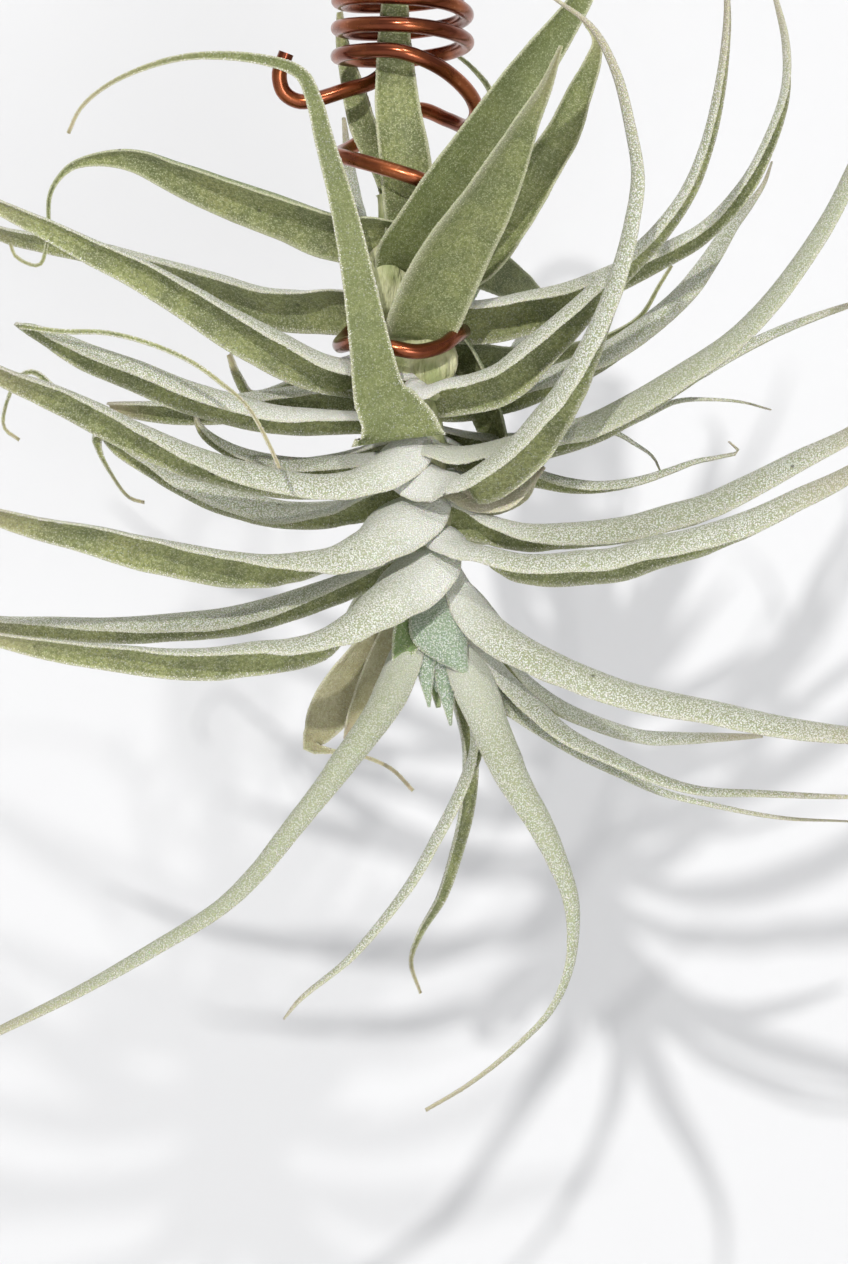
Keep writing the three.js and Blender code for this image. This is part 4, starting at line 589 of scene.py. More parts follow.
        (-25, 23, 42.5, 5.2, 30), (-30.5, 27.5, 41.5, 3.5, 50), (-33.5, 30, 45.5, 2.4, 60),
        (-35.5, 32, 50.5, 1.4, 60)),
    "leaf_right_dark_back": leaf(1, (55, 55, 45), (1, 4, 67.5, 7.4, 60), (8.5, 11, 68, 10.6, 66),
        (15.5, 20, 67.5, 10.9, 70), (22, 30, 65, 8, 70), (28, 42, 62.5, 4.5, 70), (33.5, 52, 64, 2.2, 70),
        (39.5, 60, 67, 0.7, 70)),
    "leaf_right_dark_second_back": leaf(1, (60, 60, 50), (3, 5, 57.5, 9.2, 30), (8, 7.5, 53.5, 11.3, 34),
        (12.5, 8.5, 47, 12.1, 38), (16.5, 9.5, 39, 11.2, 38), (19, 10.5, 31.5, 8.6, 38),
        (20.5, 11, 26, 5.1, 38), (21.5, 11.5, 21.5, 1.2, 38)),
    "leaf_right_short_back": leaf(1, (55, 60, 60), (2, 4.5, 51.5, 6.3, 60), (9.5, 11, 49.5, 8.9, 60),
        (17.5, 18, 48.5, 9, 50), (27.5, 26, 49.5, 6.6, 40), (36, 31, 52, 3.8, 40), (42.5, 34, 54.5, 2, 40),
        (48.5, 35, 58.5, 1.2, 50), (52.5, 36, 65, 0.8, 60), (55, 36, 69, 0.7, 60)),
    "leaf_right_curled_tip": leaf(1, (60, 70, 70), (4, 2, 25, 7, 20), (13, 6, 24, 8.7, 20),
        (23, 9, 25, 9.1, 14), (32.5, 10, 23, 8.2, 8), (38.5, 10.5, 22.5, 6.7, 4), (46, 11.5, 23.5, 5.2, 0),
        (52.5, 11.5, 25.5, 3.7, 0), (58, 11, 27.5, 2.5, 0), (63, 11, 28.5, 1.8, 0),
        (66.5, 10.5, 29.5, 1.3, 0), (64.5, 10, 31.5, 0.7, 0)),
    "leaf_right_dry_small": leaf(1, (60, 60, 50), (4.5, 3.5, 22.5, 8.1, 20), (10.5, 1.5, 20.5, 15.5, 4),
        (16, 0, 19, 18, 0), (21.5, -1, 20, 16.1, 0), (25, -2, 23.5, 10.5, 0), (27.5, -2, 26, 3.3, 0)),
    "leaf_right_thin_upper": leaf(1, (70, 75, 70), (3, 5, 34, 6.9, 20), (15.5, 12.5, 32, 7.5, 14),
        (31.5, 19.5, 33.5, 7.7, 8), (48, 26, 40, 7.7, 0), (60.5, 30.5, 46.5, 7.3, 0), (70, 34, 52, 6.5, 0),
        (79.5, 37, 56.5, 5.1, 0), (91.5, 40.5, 61, 3, 0), (104, 45, 64.5, 0.7, 0)),
    "leaf_right_thin_middle": leaf(1, (70, 70, 60), (3.5, 6.5, 26.5, 6, 20), (19.5, 16.5, 28.5, 6.1, 14),
        (35.5, 25.5, 32, 5.2, 8), (48.5, 31.5, 37.5, 3.8, 0), (56, 34.5, 41, 2.5, 0),
        (63, 36.5, 41.5, 1.6, 0), (69.5, 37, 41, 1.1, 0), (75.5, 38, 39.5, 0.7, 0)),
    "leaf_right_thin_drooping": leaf(1, (70, 70, 60), (3.5, 4.5, 24, 6, 20), (17.5, 12.5, 26.5, 6.4, 14),
        (29.5, 18.5, 32, 5.7, 8), (37.5, 21, 34.5, 4, 0), (42.5, 23, 34, 2.4, 0), (47, 23.5, 31.5, 1.6, 0),
        (50.5, 24.5, 29, 1.1, 0), (52, 25, 26, 0.7, 0)),
}

farPlan = {
    "count": 10,
    "heights": (66, 6),
    "reach": 82,
    "reachShare": (0.8, 0.3),  # the least, and how much more a draw may add
    "fan": 22,  # degrees either side of straight back
    "width": 9.5,
    "sag": 16,
    "rise": (34, -26),  # how far the tips climb, from the top leaf to the low one
    "stations": (0.047, 0.12, 0.3, 0.5, 0.7, 0.87, 1),
    "curl": (60, 70, 60),
}


def farDraws():
    # even draws from 0 to 1, the same ones that the part is drawn with
    state = 7
    while True:
        state = (state * 1664525 + 1013904223) % 4294967296
        yield state / 4294967296


def farLeaves():
    # the far side, which the photo can't show, goes on with the same habit
    draws = farDraws()
    plan = farPlan
    top, low = plan["heights"]
    least, more = plan["reachShare"]
    for index in range(plan["count"]):
        share = index / (plan["count"] - 1)
        height = mixed(top, low, share)
        side = 1 if index % 2 == 0 else -1
        turn = math.radians(90 + side * plan["fan"] * (0.45 + 0.55 * next(draws)))
        reach = plan["reach"] * (least + more * next(draws))
        rise = mixed(*plan["rise"], share) + 8 * next(draws)
        foot = 1.5 + 5.5 * (top - height) / top
        points = []
        for out in plan["stations"]:
            lift = rise * out**2 - plan["sag"] * out * (1 - out)
            width = plan["width"] * (1 - out**1.6) + 0.8 - (2 if out < 0.08 else 0)
            x = foot + reach * out * math.cos(turn) * (1 - 0.25 * out)
            y = reach * out * math.sin(turn) * (1 - 0.12 * out)
            points.append((x, y, height + lift, width, 0))
        face = (math.sin(turn), -math.cos(turn), 0)
        leafPlans[f"leaf_far_{index + 1}"] = leaf(1, plan["curl"], *points, face=face)


class Path:
    # a smooth curve through points, the same one that the part is drawn with

    def __init__(self, points):
        points = np.array(points, float)
        first = 2 * points[0] - points[1]
        last = 2 * points[-1] - points[-2]
        self.points = np.vstack([first, points, last])
        self.count = len(points)

    def at(self, share):
        # the place and the way onwards at a share of the curve
        place = (self.count - 1) * share
        index = min(int(place), self.count - 2)
        t = place - index
        p0, p1, p2, p3 = self.points[index:index + 4]
        d0, d1, d2 = (max(np.sum((b - a) ** 2) ** 0.25, 1e-4) for a, b in ((p0, p1), (p1, p2), (p2, p3)))
        t1 = ((p1 - p0) / d0 - (p2 - p0) / (d0 + d1) + (p2 - p1) / d1) * d1
        t2 = ((p2 - p1) / d1 - (p3 - p1) / (d1 + d2) + (p3 - p2) / d2) * d1
        c2 = -3 * p1 + 3 * p2 - 2 * t1 - t2
        c3 = 2 * p1 - 2 * p2 + t1 + t2
        return p1 + t1 * t + c2 * t**2 + c3 * t**3, t1 + 2 * c2 * t + 3 * c3 * t**2

    def spaced(self, spacing):
        # shares that step evenly along the curve, and the lengths that they stand at
        fine = np.linspace(0, 1, (self.count - 1) * 24 + 1)
        middles = np.array([self.at(share)[0] for share in fine])
        lengths = np.concatenate([[0], np.cumsum(np.linalg.norm(np.diff(middles, axis=0), axis=1))])
        steps = max(8, round(lengths[-1] / spacing))
        wanted = np.linspace(0, lengths[-1], steps + 1)
        return np.interp(wanted, lengths, fine), wanted


def unit(way):
    return way / np.linalg.norm(way)


def squareTo(direction, way):
    return unit(way - direction * np.dot(direction, way))


def along(rows, share):
    # the value of a short list spread evenly from base (0) to tip (1)
    rows = np.array(rows, float)
    place = share * (len(rows) - 1)
    before = min(int(place), len(rows) - 2)
    return mixed(rows[before], rows[before + 1], place - before)


def eased(part):
    return part * part * (3 - 2 * part)


def turned(way, direction, angle):
    return way * math.cos(angle) + np.cross(direction, way) * math.sin(angle)


def turnBetween(start, end, direction):
    return math.atan2(np.dot(end, np.cross(direction, start)), np.dot(end, start))


def hollowWay(plan, direction, share):
    # the way that the hollow side faces, from the plan's turn and the way the bend is seen from
    turn = math.radians(along([point[4] for point in plan["points"]], share))
    under = unit(np.cross(direction, plan.get("face", (0, -1, 0))))
    front = np.cross(under, direction)
    return under * plan["hand"] * math.cos(turn) + front * math.sin(turn)


bladePlan = {
    "spacing": 1.3,  # mm from one cross-section to the next
    "across": 17,  # points across each face
    "keel": 0.62,  # thickness in the middle
    "margin": 0.34,  # thickness at the margins
    "wave": 0.06,  # how far the margins wave
    "rib": 0.03,  # height of the fine ribs
    "rim": 0.8,  # twice the width of the pale margin
    "sections": 13,  # mm between the part's own sections
    "twist": 40,  # degrees that a leaf may turn from one of them to the next
}
footPlan = {
    # the foot of a leaf that shows its outer side lies flat over its neighbours
    "turn": -45,  # degrees: a base turned this far or further shows its outer side
    "reach": 24,  # mm from the stem
    "roll": 28,  # degrees that each half is rolled there
    "widths": (0.55, 1.0, 1.22, 1.2, 1.1, 1.0),  # of the leaf's own, from the stem outwards
}
leafToneAndShade = {
    # how much darker green than the others a leaf is made: partly its own deeper green, partly painted
    # shade for leaves that lie in shade
    "leaf_up_in_coil": 0.2,
    "leaf_up_right_front": 1.0,
    "leaf_up_right_second": 0.6,
    "leaf_up_right_back": 0.6,
    "leaf_left_over_stem": 1.0,
    "leaf_right_first": 0.2,
    "leaf_right_third": 0.9,
    "leaf_down_left": 1.0,
    "leaf_down_right": 0.7,
    "young_0": 0.3,
    "young_4": 1.0,
}


def leafFrames(plan, path, shares):
    # the hollow side's way at the part's own sections, its twist held back from the leaf's steady
    # place (its middle) outwards, then turned evenly between them
    middles = [np.array(point[:3], float) for point in plan["points"]]
    sections = [0.0]
    for index in range(1, len(middles)):
        length = np.linalg.norm(middles[index] - middles[index - 1])
        pieces = max(1, math.floor(length / bladePlan["sections"] + 0.5))
        for piece in range(1, pieces + 1):
            sections.append((index - 1 + piece / pieces) / (len(middles) - 1))
    directions = [unit(path.at(share)[1]) for share in sections]
    ways = [hollowWay(plan, d, share) for d, share in zip(directions, sections)]
    limit = math.radians(bladePlan["twist"])
    steady = round(plan.get("steady", 0.5) * (len(sections) - 1))
    order = [(i, i - 1) for i in range(steady + 1, len(sections))]
    order += [(i, i + 1) for i in range(steady - 1, -1, -1)]
    for index, neighbour in order:
        kept = squareTo(directions[index], ways[neighbour])
        turn = turnBetween(kept, ways[index], directions[index])
        ways[index] = turned(kept, directions[index], max(-limit, min(limit, turn)))
    frames = []
    for share in shares:
        after = min(max(np.searchsorted(sections, share, side="right"), 1), len(sections) - 1)
        part = (share - sections[after - 1]) / (sections[after] - sections[after - 1])
        direction = unit(path.at(share)[1])
        start = squareTo(direction, ways[after - 1])
        end = squareTo(direction, ways[after])
        turn = turnBetween(start, end, direction) * eased(part)
        frames.append((direction, turned(start, direction, turn)))
    return frames


def footForm(plan, lengths, widths, curls):
    # lays the foot flat and keeps its breadth across
    if plan["points"][0][4] > footPlan["turn"]:
        return
    roll = math.radians(footPlan["roll"])
    for index, length in enumerate(lengths):
        part = length / footPlan["reach"]
        if part >= 1:
            break
        own = curls[index]
        flat = mixed(min(roll, own), own, eased(part))
        across = widths[index] * math.sin(own) / own
        widths[index] = across * flat / math.sin(flat) * along(footPlan["widths"], part)
        curls[index] = flat


def smoothList(values):
    # rounds off the corners of a table that is read piece by piece
    values = np.array(values, float)
    for _ in range(6):
        values[1:-1] = (values[:-2] + 2 * values[1:-1] + values[2:]) / 4
    return values


def tubeFaces(rings, around):
    faces = []
    for ring in range(rings - 1):
        for i in range(around):
            a = ring * around + i
            b = ring * around + (i + 1) % around
            faces.append((a, b, b + around, a + around))
    return faces


def bladeMesh(name, plan, seed):
    phases = np.random.default_rng(seed).uniform(0, 2 * math.pi, 8)
    path = Path([point[:3] for point in plan["points"]])
    shares, lengths = path.spaced(bladePlan["spacing"])
    frames = leafFrames(plan, path, shares)
    widths = smoothList([along([point[3] for point in plan["points"]], share) for share in shares])
    curls = smoothList([math.radians(along(plan["curl"], share)) for share in shares])
    footForm(plan, lengths, widths, curls)
    count = bladePlan["across"]
    t = np.linspace(-1, 1, count)
    thin = np.abs(t) ** 2.4
    rims = np.where(t < 0, *plan.get("rims", (bladePlan["rim"], bladePlan["rim"])))
    rows, tables = [], []
    for share, length, width, curl, (direction, opening) in zip(shares, lengths, widths, curls, frames):
        middle = path.at(share)[0]
        across = np.cross(direction, opening)
        half = min(curl, width / 1.2)
        radius = width / (2 * half)
        centre = radius * (1 + math.cos(half)) / 2
        taper = min(1.0, 0.45 + width / 6)
        thickness = mixed(bladePlan["keel"], bladePlan["margin"], thin) * taper
        waves = np.sin(length * 0.42 + phases[0]) + 0.6 * np.sin(length * 0.93 + phases[1])
        other = np.sin(length * 0.39 + phases[2]) + 0.6 * np.sin(length * 1.01 + phases[3])
        lift = bladePlan["wave"] * np.abs(t) ** 4 * np.where(t < 0, waves, other) * min(1, width / 6)
        ribs = bladePlan["rib"] * np.cos(t * width * 3.4 + phases[4]) * (1 - thin)
        sides = []
        for side in (1, -1):
            reach = radius + side * thickness / 2 + lift + side * ribs
            sideways = np.outer(reach * np.sin(half * t), across)
            sides.append(middle + sideways + np.outer(centre - reach * np.cos(half * t), opening))
        outer, inner = sides[0], sides[1][::-1]
        # a rounded lip closes each margin
        bulge = 0.4 * bladePlan["margin"] * taper
        lipEnd = (outer[-1] + inner[0]) / 2 + unit(outer[-1] - outer[-2]) * bulge
        lipStart = (inner[-1] + outer[0]) / 2 + unit(outer[0] - outer[1]) * bulge
        rows.append(np.vstack([outer, lipEnd, inner, lipStart]))
        band = rims / max(width, 1.6)
        edge = np.clip((np.abs(t) - 1 + band) / band, 0, 1)
        tables.append(np.stack([
            np.concatenate([np.ones(count), [0.5], np.zeros(count), [0.5]]),
            np.concatenate([edge, [1], edge[::-1], [1]]),
            np.full(2 * count + 2, share),
            np.concatenate([t, [1], t[::-1], [-1]]) * width / 2,
            np.full(2 * count + 2, length),
        ], 1))
    around = 2 * count + 2
    faces = tubeFaces(len(shares), around)
    for start in (0, (len(shares) - 1) * around):
        for i in range(count - 1):
            faces.append([start + k for k in (i, i + 1, 2 * count - i - 1, 2 * count - i)])
        faces.append([start + k for k in (count - 1, count, count + 1)])
        faces.append([start + k for k in (2 * count, 2 * count + 1, 0)])
    return meshFrom(name, np.vstack(rows), faces, np.vstack(tables))


def meshFrom(name, points, faces, table):
    # table: outer, rim, share, across and length, for each point
    mesh = bpy.data.meshes.new(name)
    placed = np.array(points, float) - (0, 0, hangHeight)
    mesh.from_pydata((placed * mm).tolist(), [], faces)
    work = bmesh.new()
    work.from_mesh(mesh)
    bmesh.ops.recalc_face_normals(work, faces=work.faces)
    work.to_mesh(mesh)
    work.free()
    # each leaf's tone: partly its own deeper green, partly painted shade
    tonesAndShade = np.full(len(points), leafToneAndShade.get(name, 0))
    columns = {"outer": table[:, 0], "rim": table[:, 1], "share": table[:, 2], "toneAndShade": tonesAndShade}
    for attribute, values in columns.items():
        layer = mesh.attributes.new(attribute, "FLOAT", "POINT")
        layer.data.foreach_set("value", values.astype(np.float32))
    corners = np.empty(len(mesh.loops), np.int32)
    mesh.loops.foreach_get("vertex_index", corners)
    blade = (table[corners][:, 3:5] * mm).astype(np.float32)
    mesh.uv_layers.new(name="blade").data.foreach_set("uv", blade.ravel())
    mesh.shade_smooth()
    return mesh


class Nodes(Tree):
    # the same short way for geometry nodes, with the group's own named inputs

    def __init__(self, name, **faces):
        group = bpy.data.node_groups.new(name, "GeometryNodeTree")
        super().__init__(group)
        self.sockets = {}
        self.face("Geometry", "Geometry")
        for label, kind in faces.items():
            self.face(label, kind)
        self.face("Finish", "Material")
        group.interface.new_socket("Geometry", in_out="OUTPUT", socket_type="NodeSocketGeometry")
        self.start = group.nodes.new("NodeGroupInput")
        self.end = group.nodes.new("NodeGroupOutput")

    def face(self, name, kind):
        socket = self.tree.interface.new_socket(name, in_out="INPUT", socket_type=f"NodeSocket{kind}")
        self.sockets[name] = socket.identifier

    def given(self, name):
        return self.start.outputs[name]

    def named(self, name):
        node = self.add("GeometryNodeInputNamedAttribute", {"data_type": "FLOAT"}, Name=name)
        return node.outputs["Attribute"]

    def marked(self, geometry, name, value, kind="FLOAT"):
        node = self.add(
            "GeometryNodeStoreNamedAttribute",
            {"data_type": kind, "domain": "POINT"},
            Geometry=geometry,
            Name=name,
            Value=value,
        )
        return node.outputs[0]

    def shaded(self, geometry, smooth):
        return self.add("GeometryNodeSetShadeSmooth", Geometry=geometry, Shade_Smooth=smooth).outputs[0]

    def finish(self, geometry):
        # every tree ends in Realize Instances and Set Material
        realised = self.add("GeometryNodeRealizeInstances", Geometry=geometry).outputs[0]
        finished = self.add("GeometryNodeSetMaterial", Geometry=realised, Material=self.given("Finish"))
        self.feed(self.end.inputs[0], finished.outputs[0])

    def run(self, source, name, values):
        # makes the tree's result a plain mesh in a new object, and takes the source away
        modifier = source.modifiers.new("grow", "NODES")
        modifier.node_group = self.tree
        for key, value in values.items():
            modifier[self.sockets[key]] = value
        depsgraph = bpy.context.evaluated_depsgraph_get()
        depsgraph.update()
        mesh = bpy.data.meshes.new_from_object(source.evaluated_get(depsgraph), depsgraph=depsgraph)
        mesh.name = name
        bpy.data.objects.remove(source)
        return linked(name, mesh)


def slotOf(node):
    return next(part["material_slot"] for part in frame["record"]["subparts"] if part["node"] == node)


def hangPiece(piece, node):
    # every piece hangs with the part's one body and stands for its node
    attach(piece, "root")
    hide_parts(node)


scalePlan = {
    "size": 0.27,  # mm across
    "points": 5,
    "lean": 0.55,  # radians at most
    "growth": (0.55, 1.3),  # of the size, from the least to the most
    "outer": 0.7,  # per mm2 of the outer side
    "margin": 9.5,
}


def scaleTree():
    # silver scales all over a blade, thickest along its margins
    nodes = Nodes("silver_scales", Size="Float", Outer="Float", Margin="Float", Seed="Int")
    blade = nodes.given("Geometry")
    outside = nodes.times(nodes.named("outer"), nodes.given("Outer"))
    edge = nodes.times(nodes.math("POWER", nodes.named("rim"), 2.0), nodes.given("Margin"))
    spots = nodes.add(
        "GeometryNodeDistributePointsOnFaces",
        {"distribute_method": "RANDOM"},
        Mesh=blade,
        Density=nodes.plus(outside, edge),
        Seed=nodes.given("Seed"),
    ).outputs
    cap = nodes.add(
        "GeometryNodeMeshCone",
        {"fill_type": "NGON"},
        Vertices=scalePlan["points"],
        Radius_Top=0.0,
        Radius_Bottom=nodes.times(nodes.given("Size"), 0.5),
        Depth=nodes.times(nodes.given("Size"), 0.3),
    ).outputs["Mesh"]
    lean = scalePlan["lean"]
    tilt = nodes.add(
        "FunctionNodeRandomValue",
        {"data_type": "FLOAT_VECTOR"},
        Min=(-lean, -lean, 0.0),
        Max=(lean, lean, 6.28),
        Seed=nodes.given("Seed"),
    ).outputs["Value"]
    leaning = nodes.add(
        "FunctionNodeRotateRotation",
        {"rotation_space": "LOCAL"},
        Rotation=spots["Rotation"],
        Rotate_By=tilt,
    ).outputs["Rotation"]
    growth = nodes.add("FunctionNodeRandomValue", {"data_type": "FLOAT"}, Seed=nodes.given("Seed"))
    growth.inputs[2].default_value, growth.inputs[3].default_value = scalePlan["growth"]
    scales = nodes.add(
        "GeometryNodeInstanceOnPoints",
        Points=spots["Points"],
        Instance=nodes.marked(nodes.shaded(cap, False), "flake", 1.0),
        Rotation=leaning,
        Scale=growth.outputs[1],
    ).outputs["Instances"]
    joined = nodes.add("GeometryNodeJoinGeometry")
    nodes.feed(joined.inputs[0], scales)
    nodes.feed(joined.inputs[0], blade)
    nodes.finish(joined.outputs[0])
    return nodes


def dressBlade(mesh, node, seed, share=1.0):
    values = {
        "Size": scalePlan["size"] * mm,
        "Outer": scalePlan["outer"] * share * 1e6,
        "Margin": scalePlan["margin"] * share * 1e6,
        "Seed": seed,
        "Finish": materials[slotOf(node)],
    }
    hangPiece(scales.run(linked("blade", mesh), f"{node}_blade", values), node)


scales = scaleTree()
farLeaves()
print(f"leaves: {len(leafPlans)}")
for number, (leafName, leafPlan) in enumerate(leafPlans.items()):
    dressBlade(bladeMesh(leafName, leafPlan, number), leafName, number, 0.5 if "far" in leafName else 1.0)


tipCurl = (60, 50, 40)
tipPlan = {
    "leaves": (
        leaf(1, tipCurl, (7.3, -3.4, 3.4, 8, -90), (6.8, -5.2, -1.5, 12.2, -90),
            (7.4, -6.8, -5.2, 12.8, -88), (9.4, -6.8, -9.4, 7, -84), (11.4, -6.4, -12.6, 2.8, -82),
            (12.8, -6.2, -14.8, 0.4, -82)),
        leaf(1, tipCurl, (5, -2, -1, 5, -96), (4.4, -3.6, -8, 4.6, -94), (4.6, -4, -14.4, 2.8, -92),
            (5.2, -3.8, -20.8, 0.4, -90)),
        leaf(1, tipCurl, (7.6, -1.4, -4, 4.4, -90), (8, -2.6, -11, 4.4, -90), (8.6, -3.2, -18, 2.8, -90),
            (9.4, -3.2, -24.4, 0.4, -90)),
        leaf(1, tipCurl, (6, 2, -2, 5, 90), (5.6, 3, -9, 5, 90), (6.4, 3, -16, 2.8, 90),
            (7, 2.4, -21, 0.9, 90)),
        leaf(1, tipCurl, (5, -3, -1, 7, 90), (2.2, -4.4, -5, 8.4, 90), (0.4, -4.8, -9, 6, 90),
            (-1.6, -4.6, -13.6, 0.6, 90)),
    ),
    # x, y, height and radius
    "bud": ((6.8, 0, 2.6, 5.2), (7, -0.2, -1.6, 5), (7, -0.6, -6, 4.2), (7.2, -1, -12, 3),
            (7.2, -1, -18, 0.6)),
    "budRings": 30,
    "budAround": 24,  # points in each ring
}


def ringedBody(name, rings, table):
    # a closed body from rings of points with the same count
    rings, table = np.array(rings), np.array(table)
    around = rings.shape[1]
    points = np.vstack([*rings, rings[0].mean(0), rings[-1].mean(0)])
    faces = tubeFaces(len(rings), around)
    start, end = len(points) - 2, len(points) - 1
    last = (len(rings) - 1) * around
    for i in range(around):
        faces.append((start, i, (i + 1) % around))
        faces.append((end, last + i, last + (i + 1) % around))
    return meshFrom(name, points, faces, np.vstack([*table, table[0][0], table[-1][0]]))


def budMesh():
    turn = np.linspace(0, 2 * math.pi, tipPlan["budAround"], endpoint=False)
    rings, table = [], []
    for share in np.linspace(0, 1, tipPlan["budRings"]):
        x, y, z, radius = along(tipPlan["bud"], share)
        reach = radius * (1 + 0.06 * np.cos(3 * turn + 4 * share))
        nought = turn * 0
        rings.append(np.stack([x + reach * np.cos(turn), y + 0.9 * reach * np.sin(turn), nought + z], 1))
        table.append(np.stack([nought + 1, nought, nought + share * 0.5, turn * radius, nought - z], 1))
    return ringedBody("bud", rings, table)


def joinMeshes(name, meshes):
    work = [linked(name, mesh) for mesh in meshes]
    with bpy.context.temp_override(active_object=work[0], selected_editable_objects=work):
        bpy.ops.object.join()
    mesh = work[0].data
    bpy.data.objects.remove(work[0])
    mesh.name = name
    return mesh


print("growing tip")
young = [bladeMesh(f"young_{number}", plan, 90 + number) for number, plan in enumerate(tipPlan["leaves"])]
dressBlade(joinMeshes("young", [budMesh()] + young), "growing_tip", 90)


bractCurl = (60, 55, 40)
stemPlan = {
    "points": ((-1.5, 0, 79), (-0.6, 0, 68), (0.6, 0, 58), (2.4, 0, 43), (3.8, 0, 25.5), (5.6, 0, 9),
               (7, 0, 0)),
    "radii": (3.6, 3.6, 4.9, 4.9, 3.2),
    "spacing": 0.5,  # mm from one ring of points to the next
    "around": 56,  # points in each ring
    "sheath": 7.0,  # mm from one old sheath's edge to the next
    "step": 0.35,  # how far a sheath's edge stands out
    # papery bracts between the leaves, each like a short blade
    "bracts": (
        leaf(1, bractCurl, (-0.5, -2.6, 70, 7, -70), (-2.4, -3.8, 66, 10.5, -76),
            (-3.4, -4.4, 61.5, 11, -80), (-3.8, -4.4, 57, 7, -80), (-4, -4.2, 54.6, 1.2, -80)),
        leaf(1, bractCurl, (2.6, -2.6, 55, 7, -100), (4.4, -4, 51, 10.5, -100), (5.4, -4.8, 46, 11, -96),
            (5.8, -5, 41.4, 7, -94), (6, -4.8, 38.6, 1.2, -90)),
        leaf(1, bractCurl, (0, -3, 48, 7, -80), (-0.6, -4.8, 44, 10, -84), (-1, -5.4, 39.4, 9, -86),
            (-1.2, -5.4, 35, 1.2, -86)),
    ),
}


def stemMesh():
    path = Path(stemPlan["points"])
    turn = np.linspace(0, 2 * math.pi, stemPlan["around"], endpoint=False)
    rings, table = [], []
    for share, length in zip(*path.spaced(stemPlan["spacing"])):
        middle = path.at(share)[0]
        phase = (length / stemPlan["sheath"] + turn / (2 * math.pi) * 2 + 0.08 * np.sin(3 * turn)) % 1
        step = stemPlan["step"] * (phase**2 - 0.6)
        radius = along(stemPlan["radii"], share) + step + 0.05 * np.sin(19 * turn + length)
        rings.append(np.stack([middle[0] + radius * np.cos(turn), middle[1] + radius * np.sin(turn),
                               turn * 0 + middle[2]], 1))
        edge = np.clip((phase - 0.85) / 0.15, 0, 1)
        table.append(np.stack([turn * 0 + 1, edge, turn * 0 + share, turn * 4, turn * 0 + length], 1))
    return ringedBody("stem_skin", rings, table)


print("stem")
bracts = [bladeMesh(f"bract_{number}", plan, 70 + number) for number, plan in enumerate(stemPlan["bracts"])]
stemMade = joinMeshes("stem_skin", [stemMesh()] + bracts)
stemMade.materials.append(materials["stem_skin"])
hangPiece(linked("stem_with_sheaths", stemMade), "stem")


wirePlan = {
    "thickness": 3.0,
    "sides": 24,
    "spacing": 0.7,
    "wander": 0.06,  # mm that the hand-bent line sways at most, in each direction
    "coilRadius": 12.5,
    "coilPitch": 5.4,
    "coilTurns": 5,
    "coilEndHeight": 106.1,
    "loopRadius": 8.5,
    "loopHeight": 150,
    # cut tail, curled at the left of the coil, then in to the coil's axis and up its middle
    "tail": (
        (-22.5, -5, 106), (-23.9, -4.5, 102), (-23, -3.5, 98.5), (-20, -3, 96.8), (-16, -3, 97.4),
        (-11, -2, 99.2), (-5.5, 0.5, 101.5), (-1.8, 2.8, 106), (-0.6, 3.4, 114), (-0.4, 3.2, 126),
        (0.6, 2.6, 136), (4.5, 1.4, 141),
    ),
    "neck": ((-5, -2.4, 141), (-4.8, -6, 137.2), (-3.8, -10.2, 134)),
    # the last front arc, round behind, across the front again, then down into the grip ring
    "grip": (
        (-9.2, -8.6, 105.6), (-0.5, -12.4, 105), (7.3, -10.2, 102.4), (12.6, -6, 98.4), (14.4, -0.8, 95),
        (12.8, 4.2, 93), (9, 8.8, 95), (3, 12, 97.4), (-4, 12, 94), (-10, 8.5, 89.6), (-13, 2, 87),
        (-12, -4.5, 86), (-5, -11.2, 83.4), (3.5, -12.6, 80.4), (10.5, -8.5, 77.6), (12.8, 0, 75),
        (8.6, 9.4, 72), (1, 12.6, 66), (-6, 11, 58), (-11, 6, 52), (-12.2, 0, 49.8), (-9, -8.4, 49.4),
        (-2.2, -12.2, 48.4), (3, -12, 47.6), (7.6, -9.8, 48.8), (10.2, -6.2, 51), (11.8, -1, 52.4),
    ),
}


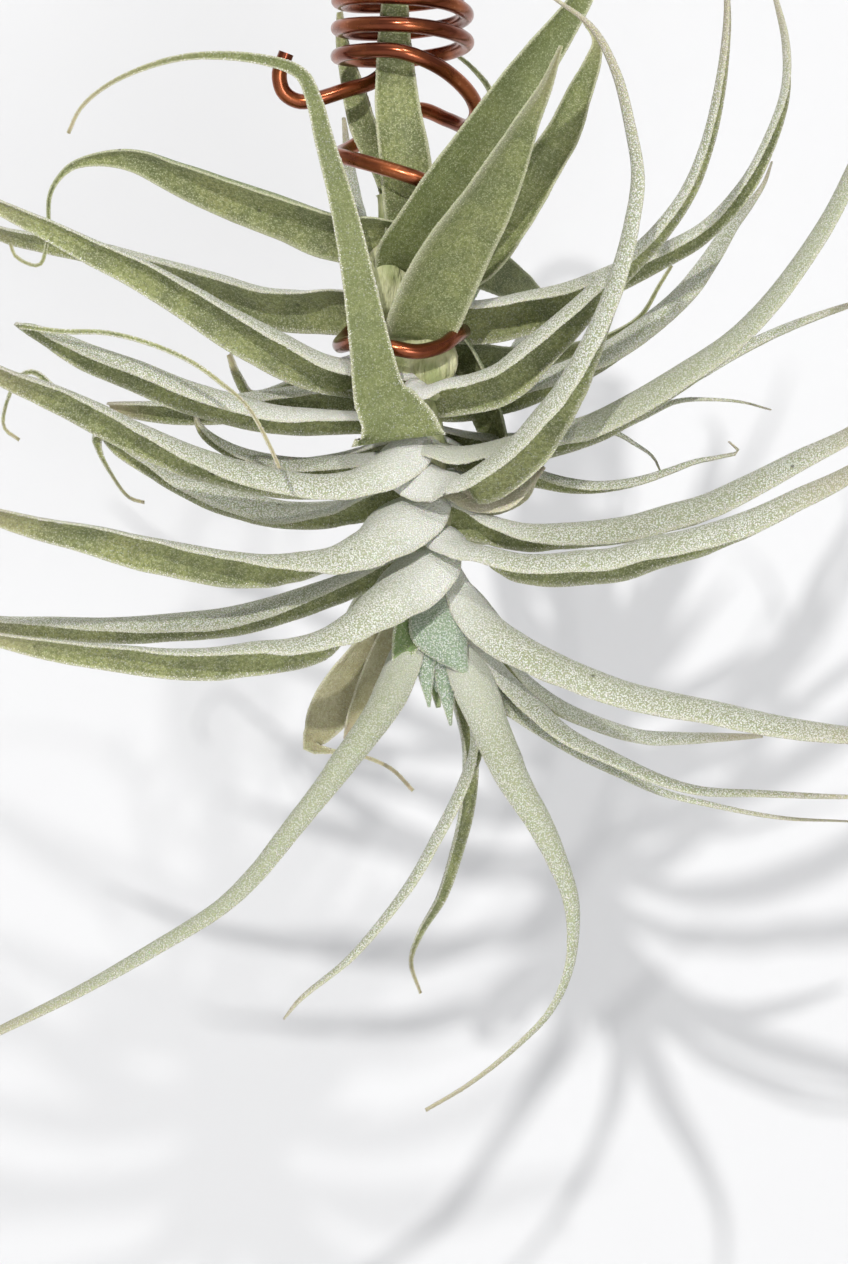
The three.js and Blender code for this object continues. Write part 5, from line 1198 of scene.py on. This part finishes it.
def wireRoute():
    plan = wirePlan
    points = list(plan["tail"])
    radius = plan["loopRadius"]
    for degrees in range(-30, 211, 30):
        angle = math.radians(degrees)
        y = 0.6 - 1.6 * ((degrees + 30) / 240)
        points.append((radius * math.cos(angle), y, plan["loopHeight"] + radius * math.sin(angle)))
    points += plan["neck"]
    radius = plan["coilRadius"]
    topTurns = plan["coilTurns"] - 0.25
    for step in range(int(topTurns * 8) + 1):
        turnsLeft = topTurns - step / 8
        angle = math.pi - turnsLeft * 2 * math.pi
        height = plan["coilEndHeight"] + turnsLeft * plan["coilPitch"]
        points.append((radius * math.cos(angle), radius * math.sin(angle), height))
    return points + list(plan["grip"])


def wireTree():
    # a round wire swept along a line, with a seamless attribute for the streaks drawn along it
    nodes = Nodes("bent_wire", Thickness="Float", Sides="Int")
    line = nodes.add("GeometryNodeMeshToCurve", Mesh=nodes.given("Geometry")).outputs[0]
    line = nodes.marked(line, "wire_length", nodes.add("GeometryNodeSplineParameter").outputs["Length"])
    radius = nodes.times(nodes.given("Thickness"), 0.5)
    ring = nodes.add("GeometryNodeCurvePrimitiveCircle", Resolution=nodes.given("Sides"), Radius=radius)
    spot = nodes.add("GeometryNodeInputPosition").outputs[0]
    ring = nodes.marked(ring.outputs["Curve"], "wire_round", spot, "FLOAT_VECTOR")
    tube = nodes.add("GeometryNodeCurveToMesh", Curve=line, Profile_Curve=ring, Fill_Caps=True).outputs[0]
    nodes.finish(nodes.shaded(tube, True))
    return nodes


def wireMesh():
    path = Path(wireRoute())
    shares, _ = path.spaced(wirePlan["spacing"])
    points = np.array([path.at(share)[0] for share in shares])
    steps = np.arange(len(points)) * wirePlan["spacing"]
    for axis, (wave, phase) in enumerate(((0.11, 0.3), (0.087, 1.9), (0.13, 4.1))):
        points[:, axis] += wirePlan["wander"] * np.sin(steps * wave * 2 + phase)
    points[:, 2] -= hangHeight
    line = bpy.data.meshes.new("wire_line")
    line.from_pydata((points * mm).tolist(), [(i, i + 1) for i in range(len(points) - 1)], [])
    return line


print("wire")
wireValues = {
    "Thickness": wirePlan["thickness"] * mm,
    "Sides": wirePlan["sides"],
    "Finish": materials["copper_wire"],
}
hangPiece(wireTree().run(linked("wire_line", wireMesh()), "wire_hanger_bent", wireValues), "wire_hanger")
